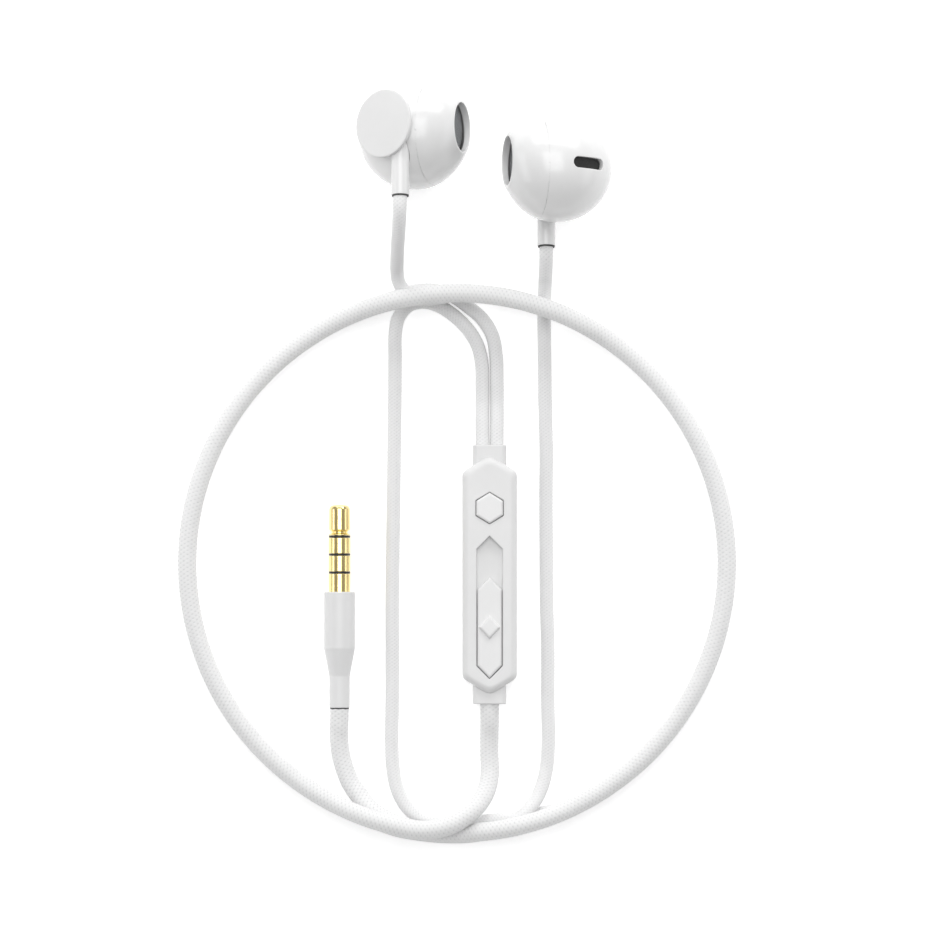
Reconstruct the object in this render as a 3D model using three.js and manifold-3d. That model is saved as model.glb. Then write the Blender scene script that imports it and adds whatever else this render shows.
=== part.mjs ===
// Wired earphones laid out flat on a table: two bulb-shaped earbuds with thin braided
// wires, an in-line remote with an answer button and a volume slider, one braided main
// cable laid in a single large ring, and a gold four-pole 3.5 mm plug.
// Millimetres. The origin is the centre of the remote's back face, which lies on the
// table. +Y runs along the remote towards the earbuds and +Z points up from the table.
import * as THREE from 'three';
import { mergeVertices } from 'three/addons/utils/BufferGeometryUtils.js';
import Module from 'manifold-3d';

const wasm = await Module();
wasm.setup();

// ---------------------------------------------------------------- driving dimensions
const GAP = 0.15; // clearance between neighbouring pieces
const CORD_GAP = 0.3; // space between a cord's end face and the piece it meets

const EAR_WIRE_RADIUS = 1.1;
const MAIN_CABLE_RADIUS = 1.5;
const CORD_SIDES = 8;
const EAR_WIRE_STEPS = 66;
const MAIN_CABLE_STEPS = 70;

const RING_CENTRE_X = -5.26;
const RING_CENTRE_Y = 1.94;
const RING_RADIUS = 43.5; // the ring of main cable, to the cable's centre line
const RING_HEIGHT = 3.8; // the ring lies on one ear wire
const FLOOR_WIRE = 1.12; // height of an ear wire's centre line when it lies on the table

// Earbud, in its own frame: centre of the bulb at the origin, stem along -Y, and the
// nozzle facing +Z. Azimuths turn from +Z towards +X.
const BULB_RADIUS = 8.65;
const BULB_FRONT = 9.0; // half length of the bulb towards the nozzle
const BULB_REAR = 9.2;
const BULB_STEPS = 5; // rings of points on each half of the bulb
const BULB_SIDES = 20;
const SHELL_WALL = 1.0;
const SEAM_PLANE = 2.6; // distance of the shells' seam from the centre
const NOZZLE_PLANE = 7.85;
const NOZZLE_RADIUS = 3.95;
const NOZZLE_ELEVATION = -1.2;
const NOZZLE_RAISE = 1.1; // how far the nozzle's centre is above the bulb's
const MESH_RADIUS = 3.88;
const MESH_BACK = 6.3;
const MESH_FRONT = 6.55;
const DRIVER_RAISE = 0.25; // the driver sits between the bulb's centre and the nozzle's
const DISC_AZIMUTH = -110;
const DISC_ELEVATION = -1;
const DISC_RAISE = 0.64; // how far the disc's axis passes above the bulb's centre
const DISC_SHIFT = 0.5; // and how far towards the nozzle
const DISC_RADIUS = 5.55;
const DISC_FRONT = 9.2;
const DISC_THICKNESS = 0.7;
const DISC_EDGE = 0.22;
const BARREL_RADIUS = 4.3;
const BARREL_BORE = 2.9;
const BARREL_BASE = 4;
const SPIGOT_DEPTH = 1.4; // the disc's spigot fits the barrel
const SPIGOT_WALL = 0.7;
const SLOT_AZIMUTH = 118.5;
const SLOT_ELEVATION = -3.2;
const SLOT_TILT = 1.5;
const SLOT_LENGTH = 5.9;
const SLOT_WIDTH = 1.8;
const VENT_RADIUS = 8.3; // the vent's gauze lies on a sphere of this radius
const VENT_THICKNESS = 0.3;
const STEM_AZIMUTH = -91.3;
const STEM_OFFSET = 7.3;
const STEM_RADIUS = 1.45;
const STEM_BORE = 1.15;
const STEM_TOP = -2.6;
const STEM_END = -11.2;
const BUSH_HEIGHT = 0.5;
const WIRE_BORE = 0.6;
const KNOT_TOP = -3.2;
const KNOT_BOTTOM = -5.0;
const BUD_TILT = 11; // the buds' stems lift off the table by this angle
const BUDS = {
  left: { x: -11.85, y: 70.7, z: 8.68, turn: 71.5 },
  right: { x: 10.5, y: 65.4, z: 10.5, turn: -78 },
};

// Remote, in the frame of the whole object.
const REMOTE_HALF_WIDTH = 4.4;
const REMOTE_APEX = 19.5; // where the two slopes of an end would meet, before rounding
const REMOTE_SLOPE = THREE.MathUtils.degToRad(33);
const REMOTE_THICKNESS = 5.8;
const REMOTE_CHAMFER = 0.65;
const REMOTE_WALL = 0.9;
const REMOTE_SEAM = 2.9;
const NECK_HALF_WIDTH = 2.7;
const NECK_HALF_HEIGHT = 1.8;
const NECK_TOP = 21.0;
const NECK_BOTTOM = -20.8;
const CABLE_HEIGHT = 3.0; // centre line of the cables where they enter the remote
const EAR_WIRE_SPACING = 2.3;
const BUTTON_Y = 10.8;
const BUTTON_HALF_WIDTH = 2.15;
const BUTTON_HALF_HEIGHT = 2.5;
const BUTTON_HALF_SIDE = 1.15;
const BUTTON_PROUD = 0.35;
const BUTTON_CHAMFER = 0.18;
const BUTTON_FLANGE = 0.55;
const PLUNGER_RADIUS = 0.9;
const CHANNEL_HALF_WIDTH = 2.1;
const CHANNEL_TOP = 6.3;
const CHANNEL_BOTTOM = -16.75;
const CHANNEL_POINT = 2.1; // height of the pointed ends
const CHANNEL_DEPTH = 0.9;
const SLIDER_TOP = -0.35;
const SLIDER_PROUD = 0.2;
const SLIDER_TRAVEL = 6.3;
const SLIDER_CHAMFER = 0.15;
const GRIP_Y = -8.4;
const GRIP_HALF_WIDTH = 1.72;
const GRIP_HALF_HEIGHT = 1.85;
const GRIP_HEIGHT = 0.5;
const LEG_WIDTH = 0.7; // the slider's leg goes down through a slit in the channel's floor
const LEG_LENGTH = 1.6;
const LEG_BOTTOM = 3.9;
const SLIT_WIDTH = 1.0;
const SLIT_BOTTOM = GRIP_Y - LEG_LENGTH / 2 - GAP;
const SLIT_TOP = GRIP_Y + SLIDER_TRAVEL + LEG_LENGTH / 2 + GAP;
const TRAY_RIM = 0.7;
const TRAY_END_RIM = 0.4;
const TRAY_FLOOR = 0.8;
const REMOTE_REACH = 25; // beyond the remote's ends
const BOARD_TOP = 2.6;
const BOARD_THICKNESS = 0.6;
const MICROPHONE_Y = 5;
const PORT_RADIUS = 0.45;

// Plug, along +Y from the front face of its housing.
const PLUG_X = -24.2;
const PLUG_Y = -2.7;
const PIN_RADIUS = 1.75;
const PIN_LENGTH = 14;
const POLE_GAPS = [3.1, 6.0, 8.9]; // middle of each insulating ring, from the shoulder
const INSULATOR_WIDTH = 0.34;
const HOUSING_RADIUS = 2.5;
const HOUSING_TAPER_START = -9.1;
const HOUSING_TAPER_END = -13.6;
const HOUSING_TAIL_RADIUS = 1.65;
const HOUSING_END = -18.7;

// ---------------------------------------------------------------- materials
function finish(color, roughness, metalness = 0) {
  return new THREE.MeshStandardMaterial({ color, roughness, metalness });
}

const glossWhite = finish(0xf7f7f7, 0.12);
const satinWhite = finish(0xe8e8e8, 0.4);
const matteWhite = finish(0xf1f1f1, 0.55);
const braidWhite = finish(0xececec, 0.9);
const darkMesh = finish(0x55585a, 0.5, 0.6);
const blackMesh = finish(0x141414, 0.6);
const blackPlastic = finish(0x101010, 0.4);
const darkRubber = finish(0x3a3a3a, 0.7);
const foamGrey = finish(0x6a6a6a, 0.95);
const gold = finish(0xd9b45a, 0.15, 1);
const steel = finish(0xb8babd, 0.3, 1);
const copper = finish(0xc07a45, 0.35, 1);
const film = finish(0xcfd6da, 0.25);
const boardGreen = finish(0x1f6b3d, 0.6);

// ---------------------------------------------------------------- shared helpers
const assembly = new THREE.Group();

function place(parent, name, geometry, material) {
  const mesh = new THREE.Mesh(geometry, material);
  mesh.name = name;
  parent.add(mesh);
  return mesh;
}

function toSolid(geometry) {
  const bare = geometry.clone();
  bare.deleteAttribute('normal');
  bare.deleteAttribute('uv');
  const welded = mergeVertices(bare, 1e-4);
  const position = welded.getAttribute('position');
  return new wasm.Manifold(new wasm.Mesh({
    numProp: 3,
    vertProperties: new Float32Array(position.array),
    triVerts: new Uint32Array(welded.getIndex().array),
  }));
}

function toGeometry(solid) {
  const mesh = solid.getMesh();
  const geometry = new THREE.BufferGeometry();
  geometry.setAttribute('position', new THREE.BufferAttribute(mesh.vertProperties, 3));
  geometry.setIndex(new THREE.BufferAttribute(mesh.triVerts, 1));
  geometry.computeVertexNormals();
  return geometry;
}

function cut(body, ...tools) {
  let result = toSolid(body);
  for (const tool of tools) result = result.subtract(toSolid(tool));
  return toGeometry(result);
}

function join(body, ...additions) {
  let result = toSolid(body);
  for (const addition of additions) result = result.add(toSolid(addition));
  return toGeometry(result);
}

function common(body, other) {
  return toGeometry(toSolid(body).intersect(toSolid(other)));
}

// A solid of revolution about +Y. The profile is [radius, height] pairs that run
// outwards at the bottom, up the outside and back to the axis.
function turned(profile, segments = 16) {
  const points = profile.map(([radius, height]) => new THREE.Vector2(radius, height));
  return new THREE.LatheGeometry(points, segments);
}

// A tube about +Y with square ends.
function ring(inner, outer, bottom, top, segments = 16) {
  const corners = [[inner, bottom], [outer, bottom], [outer, top], [inner, top], [inner, bottom]];
  return turned(corners, segments);
}

function rodProfile(radius, bottom, top) {
  return [[0, bottom], [radius, bottom], [radius, top], [0, top]];
}

function rod(radius, bottom, top, segments = 16) {
  return turned(rodProfile(radius, bottom, top), segments);
}

// Turns a shape that was made about +Y so that its axis is +Z.
function alongZ(geometry) {
  return geometry.rotateX(Math.PI / 2);
}

// Points a shape made about +Z in the direction given by an azimuth and an elevation.
function aim(geometry, azimuth, elevation) {
  geometry.rotateX(THREE.MathUtils.degToRad(-elevation));
  return geometry.rotateY(THREE.MathUtils.degToRad(azimuth));
}

function block(width, depth, height, x, y, z) {
  return new THREE.BoxGeometry(width, depth, height).translate(x, y, z);
}

function prism(shape, bottom, top, curveSegments = 4) {
  const options = { depth: top - bottom, bevelEnabled: false, curveSegments };
  return new THREE.ExtrudeGeometry(shape, options).translate(0, 0, bottom);
}

// A prism whose upper and lower edges are chamfered inwards.
function chamferedPrism(shape, bottom, top, chamfer, curveSegments = 4) {
  const options = {
    depth: top - bottom - 2 * chamfer,
    bevelEnabled: true,
    bevelThickness: chamfer,
    bevelSize: chamfer,
    bevelOffset: -chamfer,
    bevelSegments: 1,
    curveSegments,
  };
  return new THREE.ExtrudeGeometry(shape, options).translate(0, 0, bottom + chamfer);
}

// A hexagon with vertical sides and a point at each end.
function pointedShape(halfWidth, bottom, top, point) {
  const shape = new THREE.Shape();
  shape.moveTo(-halfWidth, bottom + point);
  shape.lineTo(0, bottom);
  shape.lineTo(halfWidth, bottom + point);
  shape.lineTo(halfWidth, top - point);
  shape.lineTo(0, top);
  shape.lineTo(-halfWidth, top - point);
  shape.closePath();
  return shape;
}

function roundedShape(halfWidth, halfHeight, radius) {
  const shape = new THREE.Shape();
  shape.moveTo(-halfWidth + radius, -halfHeight);
  shape.lineTo(halfWidth - radius, -halfHeight);
  shape.absarc(halfWidth - radius, -halfHeight + radius, radius, -Math.PI / 2, 0);
  shape.lineTo(halfWidth, halfHeight - radius);
  shape.absarc(halfWidth - radius, halfHeight - radius, radius, 0, Math.PI / 2);
  shape.lineTo(-halfWidth + radius, halfHeight);
  shape.absarc(-halfWidth + radius, halfHeight - radius, radius, Math.PI / 2, Math.PI);
  shape.lineTo(-halfWidth, -halfHeight + radius);
  shape.absarc(-halfWidth + radius, -halfHeight + radius, radius, Math.PI, Math.PI * 1.5);
  return shape;
}

// ---------------------------------------------------------------- earbud housings
// Half an ellipse on each side of the widest circle, cut flat at the nozzle when
// a plane is given.
function bulbProfile(radius, rear, front, plane = front) {
  const steps = BULB_STEPS;
  const lipAngle = Math.asin(Math.min(1, plane / front));
  const profile = [];
  for (let i = 0; i <= steps; i += 1) {
    const angle = (-Math.PI / 2) * (1 - i / steps);
    profile.push([radius * Math.cos(angle), rear * Math.sin(angle)]);
  }
  for (let i = 1; i <= steps; i += 1) {
    const angle = (lipAngle * i) / steps;
    profile.push([radius * Math.cos(angle), front * Math.sin(angle)]);
  }
  profile[0][0] = 0;
  if (plane < front) profile.push([0, plane]);
  else profile[profile.length - 1][0] = 0;
  return profile;
}

// Leans the front half of the bulb upwards, so that the nozzle's centre is raised and its
// face keeps its direction.
function lean(geometry) {
  const position = geometry.getAttribute('position');
  for (let i = 0; i < position.count; i += 1) {
    const forward = Math.max(0, position.getZ(i)) / NOZZLE_PLANE;
    position.setY(i, position.getY(i) + NOZZLE_RAISE * forward ** 2);
  }
  return geometry;
}

function bulb(radius, rear, front, plane) {
  const profile = bulbProfile(radius, rear, front, plane);
  return aim(lean(alongZ(turned(profile, BULB_SIDES))), 0, NOZZLE_ELEVATION);
}

function slotPrism(length, width, near, far) {
  const shape = roundedShape(length / 2, width / 2, width / 2 - 0.01);
  const geometry = prism(shape, near, far, 5);
  geometry.rotateZ(THREE.MathUtils.degToRad(SLOT_TILT));
  return aim(geometry, SLOT_AZIMUTH, SLOT_ELEVATION);
}

// A turned shape about the disc's axis, which faces sideways out of the bulb.
function aboutDisc(profile, segments = 24) {
  const geometry = alongZ(turned(profile, segments)).translate(DISC_SHIFT, 0, 0);
  return aim(geometry, DISC_AZIMUTH, DISC_ELEVATION).translate(0, DISC_RAISE, 0);
}

function stemPosition() {
  const angle = THREE.MathUtils.degToRad(STEM_AZIMUTH);
  return [STEM_OFFSET * Math.sin(angle), STEM_OFFSET * Math.cos(angle)];
}

function atStem(geometry) {
  const [x, z] = stemPosition();
  return geometry.translate(x, 0, z);
}

// The bulb's hollow housing with its barrel and openings, before it is split at the seam.
function closedBulb() {
  const outside = 12; // beyond the bulb's surface everywhere
  const inner = bulb(BULB_RADIUS - SHELL_WALL, BULB_REAR - SHELL_WALL, BULB_FRONT - SHELL_WALL);
  const outer = bulb(BULB_RADIUS, BULB_REAR, BULB_FRONT, NOZZLE_PLANE);
  const barrelTop = DISC_FRONT - DISC_THICKNESS - GAP;
  const barrel = aboutDisc(rodProfile(BARREL_RADIUS, BARREL_BASE, barrelTop));
  const bore = aboutDisc(rodProfile(BARREL_BORE, BARREL_BASE / 2, outside));
  const dome = aboutDisc(rodProfile(DISC_RADIUS + 1, barrelTop, outside));
  const mouth = alongZ(rod(NOZZLE_RADIUS, MESH_BACK - 1, outside, 24)).translate(0, NOZZLE_RAISE, 0);
  const notch = atStem(rod(STEM_RADIUS + GAP, -outside, STEM_TOP + GAP));
  const slot = slotPrism(SLOT_LENGTH, SLOT_WIDTH, VENT_RADIUS / 2, outside);
  return cut(join(outer, barrel), dome, inner, bore, aim(mouth, 0, NOZZLE_ELEVATION), notch, slot);
}

// Everything between two distances from the centre along the nozzle's axis.
function seamHalf(low, high) {
  const reach = 30;
  const half = new THREE.BoxGeometry(reach, reach, high - low).translate(0, 0, (low + high) / 2);
  return aim(half, 0, NOZZLE_ELEVATION);
}

function buildShells(bud, side) {
  const shell = closedBulb();
  const reach = 15;
  const front = common(shell, seamHalf(SEAM_PLANE + GAP / 2, reach));
  place(bud, `${side}_front_shell`, front, glossWhite);
  const rear = common(shell, seamHalf(-reach, SEAM_PLANE - GAP / 2));
  place(bud, `${side}_rear_shell`, rear, glossWhite);
}

function buildDisc(bud, side) {
  const back = DISC_FRONT - DISC_THICKNESS;
  const spigot = BARREL_BORE - GAP;
  const hollow = spigot - SPIGOT_WALL;
  const cap = aboutDisc([
    [0, back], [hollow, back], [hollow, back - SPIGOT_DEPTH], [spigot, back - SPIGOT_DEPTH],
    [spigot, back], [DISC_RADIUS - DISC_EDGE, back], [DISC_RADIUS, back + DISC_EDGE],
    [DISC_RADIUS, DISC_FRONT - DISC_EDGE], [DISC_RADIUS - DISC_EDGE, DISC_FRONT], [0, DISC_FRONT],
  ]);
  place(bud, `${side}_disc_cap`, cap, matteWhite);
}

function buildStem(bud, side) {
  const tube = ring(STEM_BORE, STEM_RADIUS, STEM_END, STEM_TOP);
  place(bud, `${side}_stem`, atStem(tube), glossWhite);
  const bushBottom = STEM_END + GAP;
  const bush = ring(WIRE_BORE, STEM_BORE - 0.05, bushBottom, bushBottom + BUSH_HEIGHT);
  place(bud, `${side}_stem_bush`, atStem(bush), darkRubber);
  const girth = STEM_BORE - GAP;
  const taper = 0.5;
  const knot = turned([
    [0, KNOT_BOTTOM], [WIRE_BORE, KNOT_BOTTOM], [girth, KNOT_BOTTOM + taper],
    [girth, KNOT_TOP - taper], [WIRE_BORE, KNOT_TOP], [0, KNOT_TOP],
  ], 10);
  place(bud, `${side}_wire_knot`, atStem(knot), braidWhite);
}

// ---------------------------------------------------------------- earbud drivers
// Everything here is turned about a line that points out of the nozzle: +Z of a group that
// is raised above the bulb's centre.
function nozzleGroup(bud, raise) {
  const direction = new THREE.Group();
  direction.rotation.x = THREE.MathUtils.degToRad(-NOZZLE_ELEVATION);
  bud.add(direction);
  const line = new THREE.Group();
  line.position.y = raise;
  direction.add(line);
  return line;
}

function buildNozzle(bud, side) {
  const line = nozzleGroup(bud, NOZZLE_RAISE);
  const mesh = rod(MESH_RADIUS, MESH_BACK, MESH_FRONT, 24);
  place(line, `${side}_nozzle_mesh`, alongZ(mesh), darkMesh);
  const damper = rod(MESH_RADIUS - 0.05, MESH_BACK - GAP - 0.5, MESH_BACK - GAP, 20);
  place(line, `${side}_nozzle_damper`, alongZ(damper), foamGrey);
}

function buildDriver(bud, side) {
  const line = nozzleGroup(bud, DRIVER_RAISE);
  const add = (name, geometry, material) => place(line, `${side}_${name}`, alongZ(geometry), material);
  add('driver_frame', turned([
    [4.45, 2.9], [5.8, 2.9], [5.95, 3.2], [5.95, 4.4], [5.35, 4.4], [5.35, 3.6], [4.45, 3.6],
    [4.45, 2.9],
  ], 24), blackPlastic);
  add('driver_yoke', turned([
    [0, 0.4], [4.3, 0.4], [4.3, 3.5], [3.5, 3.5], [3.5, 0.95], [0, 0.95],
  ], 20), steel);
  add('driver_magnet', rod(2.45, 1.1, 2.6), steel);
  add('driver_top_plate', rod(2.5, 2.75, 3.4), steel);
  add('voice_coil', ring(2.85, 3.15, 2.3, 4.3), copper);
  add('diaphragm', turned([
    [0, 5.0], [1.6, 4.85], [2.9, 4.45], [5.2, 4.55], [5.2, 4.7], [3.9, 4.95], [2.9, 4.65],
    [1.6, 5.1], [0, 5.25],
  ], 20), film);
}

// The black gauze that fills the vent slot a little below the shell's surface.
function buildVentMesh(bud, side) {
  const inside = VENT_RADIUS - VENT_THICKNESS;
  const outer = bulb(VENT_RADIUS, VENT_RADIUS, VENT_RADIUS);
  const layer = cut(outer, bulb(inside, inside, inside));
  const reach = slotPrism(SLOT_LENGTH - 2 * GAP, SLOT_WIDTH - 2 * GAP, inside / 2, VENT_RADIUS + 1);
  place(bud, `${side}_vent_mesh`, common(layer, reach), blackMesh);
}

function buildBud(side) {
  const { x, y, z, turn } = BUDS[side];
  const bud = new THREE.Group();
  bud.position.set(x, y, z);
  bud.rotation.set(THREE.MathUtils.degToRad(-BUD_TILT), THREE.MathUtils.degToRad(turn), 0);
  assembly.add(bud);
  buildShells(bud, side);
  buildDisc(bud, side);
  buildStem(bud, side);
  buildNozzle(bud, side);
  buildDriver(bud, side);
  buildVentMesh(bud, side);
}

// ---------------------------------------------------------------- remote
// The remote's outline, moved inwards by inset: straight sides and gabled ends
// with a rounded ridge and rounded shoulders.
function remoteShape(inset) {
  const halfWidth = REMOTE_HALF_WIDTH - inset;
  const apex = REMOTE_APEX - inset / Math.cos(REMOTE_SLOPE);
  const shoulder = apex - halfWidth * Math.tan(REMOTE_SLOPE);
  const ridge = 1.4;
  const corner = 0.7;
  const onSlope = (x) => apex - x * Math.tan(REMOTE_SLOPE);
  const shape = new THREE.Shape();
  shape.moveTo(halfWidth, -shoulder + corner);
  shape.lineTo(halfWidth, shoulder - corner);
  shape.quadraticCurveTo(halfWidth, shoulder, halfWidth - corner, onSlope(halfWidth - corner));
  shape.lineTo(ridge, onSlope(ridge));
  shape.quadraticCurveTo(0, apex, -ridge, onSlope(ridge));
  shape.lineTo(-halfWidth + corner, onSlope(halfWidth - corner));
  shape.quadraticCurveTo(-halfWidth, shoulder, -halfWidth, shoulder - corner);
  shape.lineTo(-halfWidth, -shoulder + corner);
  shape.quadraticCurveTo(-halfWidth, -shoulder, -halfWidth + corner, -onSlope(halfWidth - corner));
  shape.lineTo(-ridge, -onSlope(ridge));
  shape.quadraticCurveTo(0, -apex, ridge, -onSlope(ridge));
  shape.lineTo(halfWidth - corner, -onSlope(halfWidth - corner));
  shape.quadraticCurveTo(halfWidth, -shoulder, halfWidth, -shoulder + corner);
  return shape;
}

// The neck's section, extruded along Y between two places.
function neck(halfWidth, halfHeight, from, to) {
  const radius = 0.8;
  const geometry = prism(roundedShape(halfWidth, halfHeight, radius), 0, to - from, 3);
  geometry.rotateX(-Math.PI / 2);
  return geometry.translate(0, from, CABLE_HEIGHT);
}

function buttonShape(spread) {
  const point = BUTTON_HALF_HEIGHT - BUTTON_HALF_SIDE;
  const reach = BUTTON_HALF_HEIGHT + spread;
  return pointedShape(BUTTON_HALF_WIDTH + spread, -reach, reach, point);
}

// The channel's outline, widened by a rim.
function channelShape(rim) {
  const bottom = CHANNEL_BOTTOM - Math.min(rim, TRAY_END_RIM);
  return pointedShape(CHANNEL_HALF_WIDTH + rim, bottom, CHANNEL_TOP + rim, CHANNEL_POINT);
}

function buildRemoteShells() {
  const roof = REMOTE_THICKNESS - REMOTE_WALL;
  const above = REMOTE_THICKNESS + 1;
  const body = chamferedPrism(remoteShape(0), 0, REMOTE_THICKNESS, REMOTE_CHAMFER);
  const cavity = prism(remoteShape(REMOTE_WALL), REMOTE_WALL, roof);
  const necks = neck(NECK_HALF_WIDTH + GAP, NECK_HALF_HEIGHT + GAP, -REMOTE_REACH, REMOTE_REACH);
  const hollow = cut(body, cavity, necks);
  const half = (middle) => block(2 * REMOTE_REACH, 2 * REMOTE_REACH, 10, 0, 0, middle);
  const upper = common(hollow, half(REMOTE_SEAM + GAP / 2 + 5));
  const lower = common(hollow, half(REMOTE_SEAM - GAP / 2 - 5));
  const floorTop = REMOTE_THICKNESS - CHANNEL_DEPTH;
  const tray = prism(channelShape(TRAY_RIM), floorTop - TRAY_FLOOR, roof + 0.3);
  const channel = prism(channelShape(0), floorTop, above);
  const slitLength = SLIT_TOP - SLIT_BOTTOM;
  const slit = block(SLIT_WIDTH, slitLength, 3, 0, (SLIT_TOP + SLIT_BOTTOM) / 2, floorTop - TRAY_FLOOR);
  const buttonHole = prism(buttonShape(GAP), REMOTE_SEAM, above).translate(0, BUTTON_Y, 0);
  const front = cut(join(upper, tray), channel, slit, buttonHole, necks);
  place(assembly, 'remote_front_shell', front, satinWhite);
  const soundPort = alongZ(rod(PORT_RADIUS, -1, 2, 10)).translate(0, MICROPHONE_Y, 0);
  place(assembly, 'remote_back_shell', cut(lower, soundPort), satinWhite);
}

// Each gland is a neck that the cables come out of, with a wider foot held in the remote.
function buildGlands() {
  const topFoot = neck(NECK_HALF_WIDTH + 0.5, NECK_HALF_HEIGHT + 0.05, 14.6, 15.3);
  const top = join(neck(NECK_HALF_WIDTH, NECK_HALF_HEIGHT, 15.2, NECK_TOP), topFoot);
  place(assembly, 'remote_top_gland', top, satinWhite);
  const bottomFoot = neck(NECK_HALF_WIDTH, NECK_HALF_HEIGHT - 0.8, -17.5, -16.9);
  const bottom = join(neck(NECK_HALF_WIDTH, NECK_HALF_HEIGHT, NECK_BOTTOM, -17.4), bottomFoot);
  place(assembly, 'remote_bottom_gland', bottom, satinWhite);
}

function buildElectronics() {
  const underside = BOARD_TOP - BOARD_THICKNESS;
  const board = block(5.8, 27, BOARD_THICKNESS, 0, 0.5, BOARD_TOP - BOARD_THICKNESS / 2);
  place(assembly, 'circuit_board', board, boardGreen);
  const microphone = block(2.8, 1.9, 0.8, 0, MICROPHONE_Y, underside - 0.5);
  place(assembly, 'microphone', microphone, steel);
  place(assembly, 'control_chip', block(3, 3, 0.75, 0, -3, underside - 0.475), blackPlastic);
  const anchorTop = block(4.2, 1.0, 0.8, 0, 13.5, 3.2);
  place(assembly, 'ear_wire_anchor', anchorTop, copper);
  const anchorBottom = block(2.4, 1.4, 0.9, 0, -15.2, 3.2);
  place(assembly, 'main_cable_anchor', anchorBottom, copper);
}

function buildAnswerButton() {
  const flangeTop = REMOTE_THICKNESS - REMOTE_WALL - GAP;
  const flangeBottom = flangeTop - BUTTON_FLANGE;
  const top = REMOTE_THICKNESS + BUTTON_PROUD;
  const crown = chamferedPrism(buttonShape(0), flangeBottom, top, BUTTON_CHAMFER);
  const flange = prism(buttonShape(0.45), flangeBottom, flangeTop);
  const button = join(crown, flange).translate(0, BUTTON_Y, 0);
  place(assembly, 'answer_button', button, satinWhite);
  const plungerTop = flangeBottom - 0.1;
  const plunger = alongZ(rod(PLUNGER_RADIUS, plungerTop - 0.7, plungerTop, 12));
  place(assembly, 'switch_plunger', plunger.translate(0, BUTTON_Y, 0), blackPlastic);
  const baseBottom = BOARD_TOP + 0.1;
  const pocket = alongZ(rod(PLUNGER_RADIUS + GAP, baseBottom + 0.2, 5, 12)).translate(0, BUTTON_Y, 0);
  const base = cut(block(3.4, 3.4, 0.8, 0, BUTTON_Y, baseBottom + 0.4), pocket);
  place(assembly, 'tact_switch', base, steel);
}

function gripShape() {
  const shape = new THREE.Shape();
  shape.moveTo(0, -GRIP_HALF_HEIGHT);
  shape.lineTo(GRIP_HALF_WIDTH, 0);
  shape.lineTo(0, GRIP_HALF_HEIGHT);
  shape.lineTo(-GRIP_HALF_WIDTH, 0);
  shape.closePath();
  return shape;
}

function buildVolumeSlider() {
  const seat = REMOTE_THICKNESS - CHANNEL_DEPTH + 0.1;
  const top = REMOTE_THICKNESS + SLIDER_PROUD;
  const halfWidth = CHANNEL_HALF_WIDTH - GAP;
  const point = CHANNEL_POINT - GAP / 2;
  const outline = pointedShape(halfWidth, CHANNEL_BOTTOM + GAP, SLIDER_TOP, point);
  const body = chamferedPrism(outline, seat, top, SLIDER_CHAMFER);
  const grip = chamferedPrism(gripShape(), top - GRIP_HEIGHT, top + GRIP_HEIGHT, SLIDER_CHAMFER);
  grip.translate(0, GRIP_Y, 0);
  const legTop = seat + 0.3;
  const leg = block(LEG_WIDTH, LEG_LENGTH, legTop - LEG_BOTTOM, 0, GRIP_Y, (legTop + LEG_BOTTOM) / 2);
  place(assembly, 'volume_slider', join(body, grip, leg), satinWhite);
  const wiper = block(1.2, LEG_LENGTH, 0.65, 0, GRIP_Y, LEG_BOTTOM - 0.45);
  place(assembly, 'slider_wiper', wiper, copper);
  const trackLength = SLIDER_TRAVEL + 4.6;
  const trackMiddle = GRIP_Y + SLIDER_TRAVEL / 2;
  const track = block(3.4, trackLength, 1.2, 0, trackMiddle, BOARD_TOP + 0.7);
  const groove = block(1.5, trackLength - 1.6, 1.2, 0, trackMiddle, BOARD_TOP + 1.0);
  place(assembly, 'slider_track', cut(track, groove), blackPlastic);
}

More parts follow.
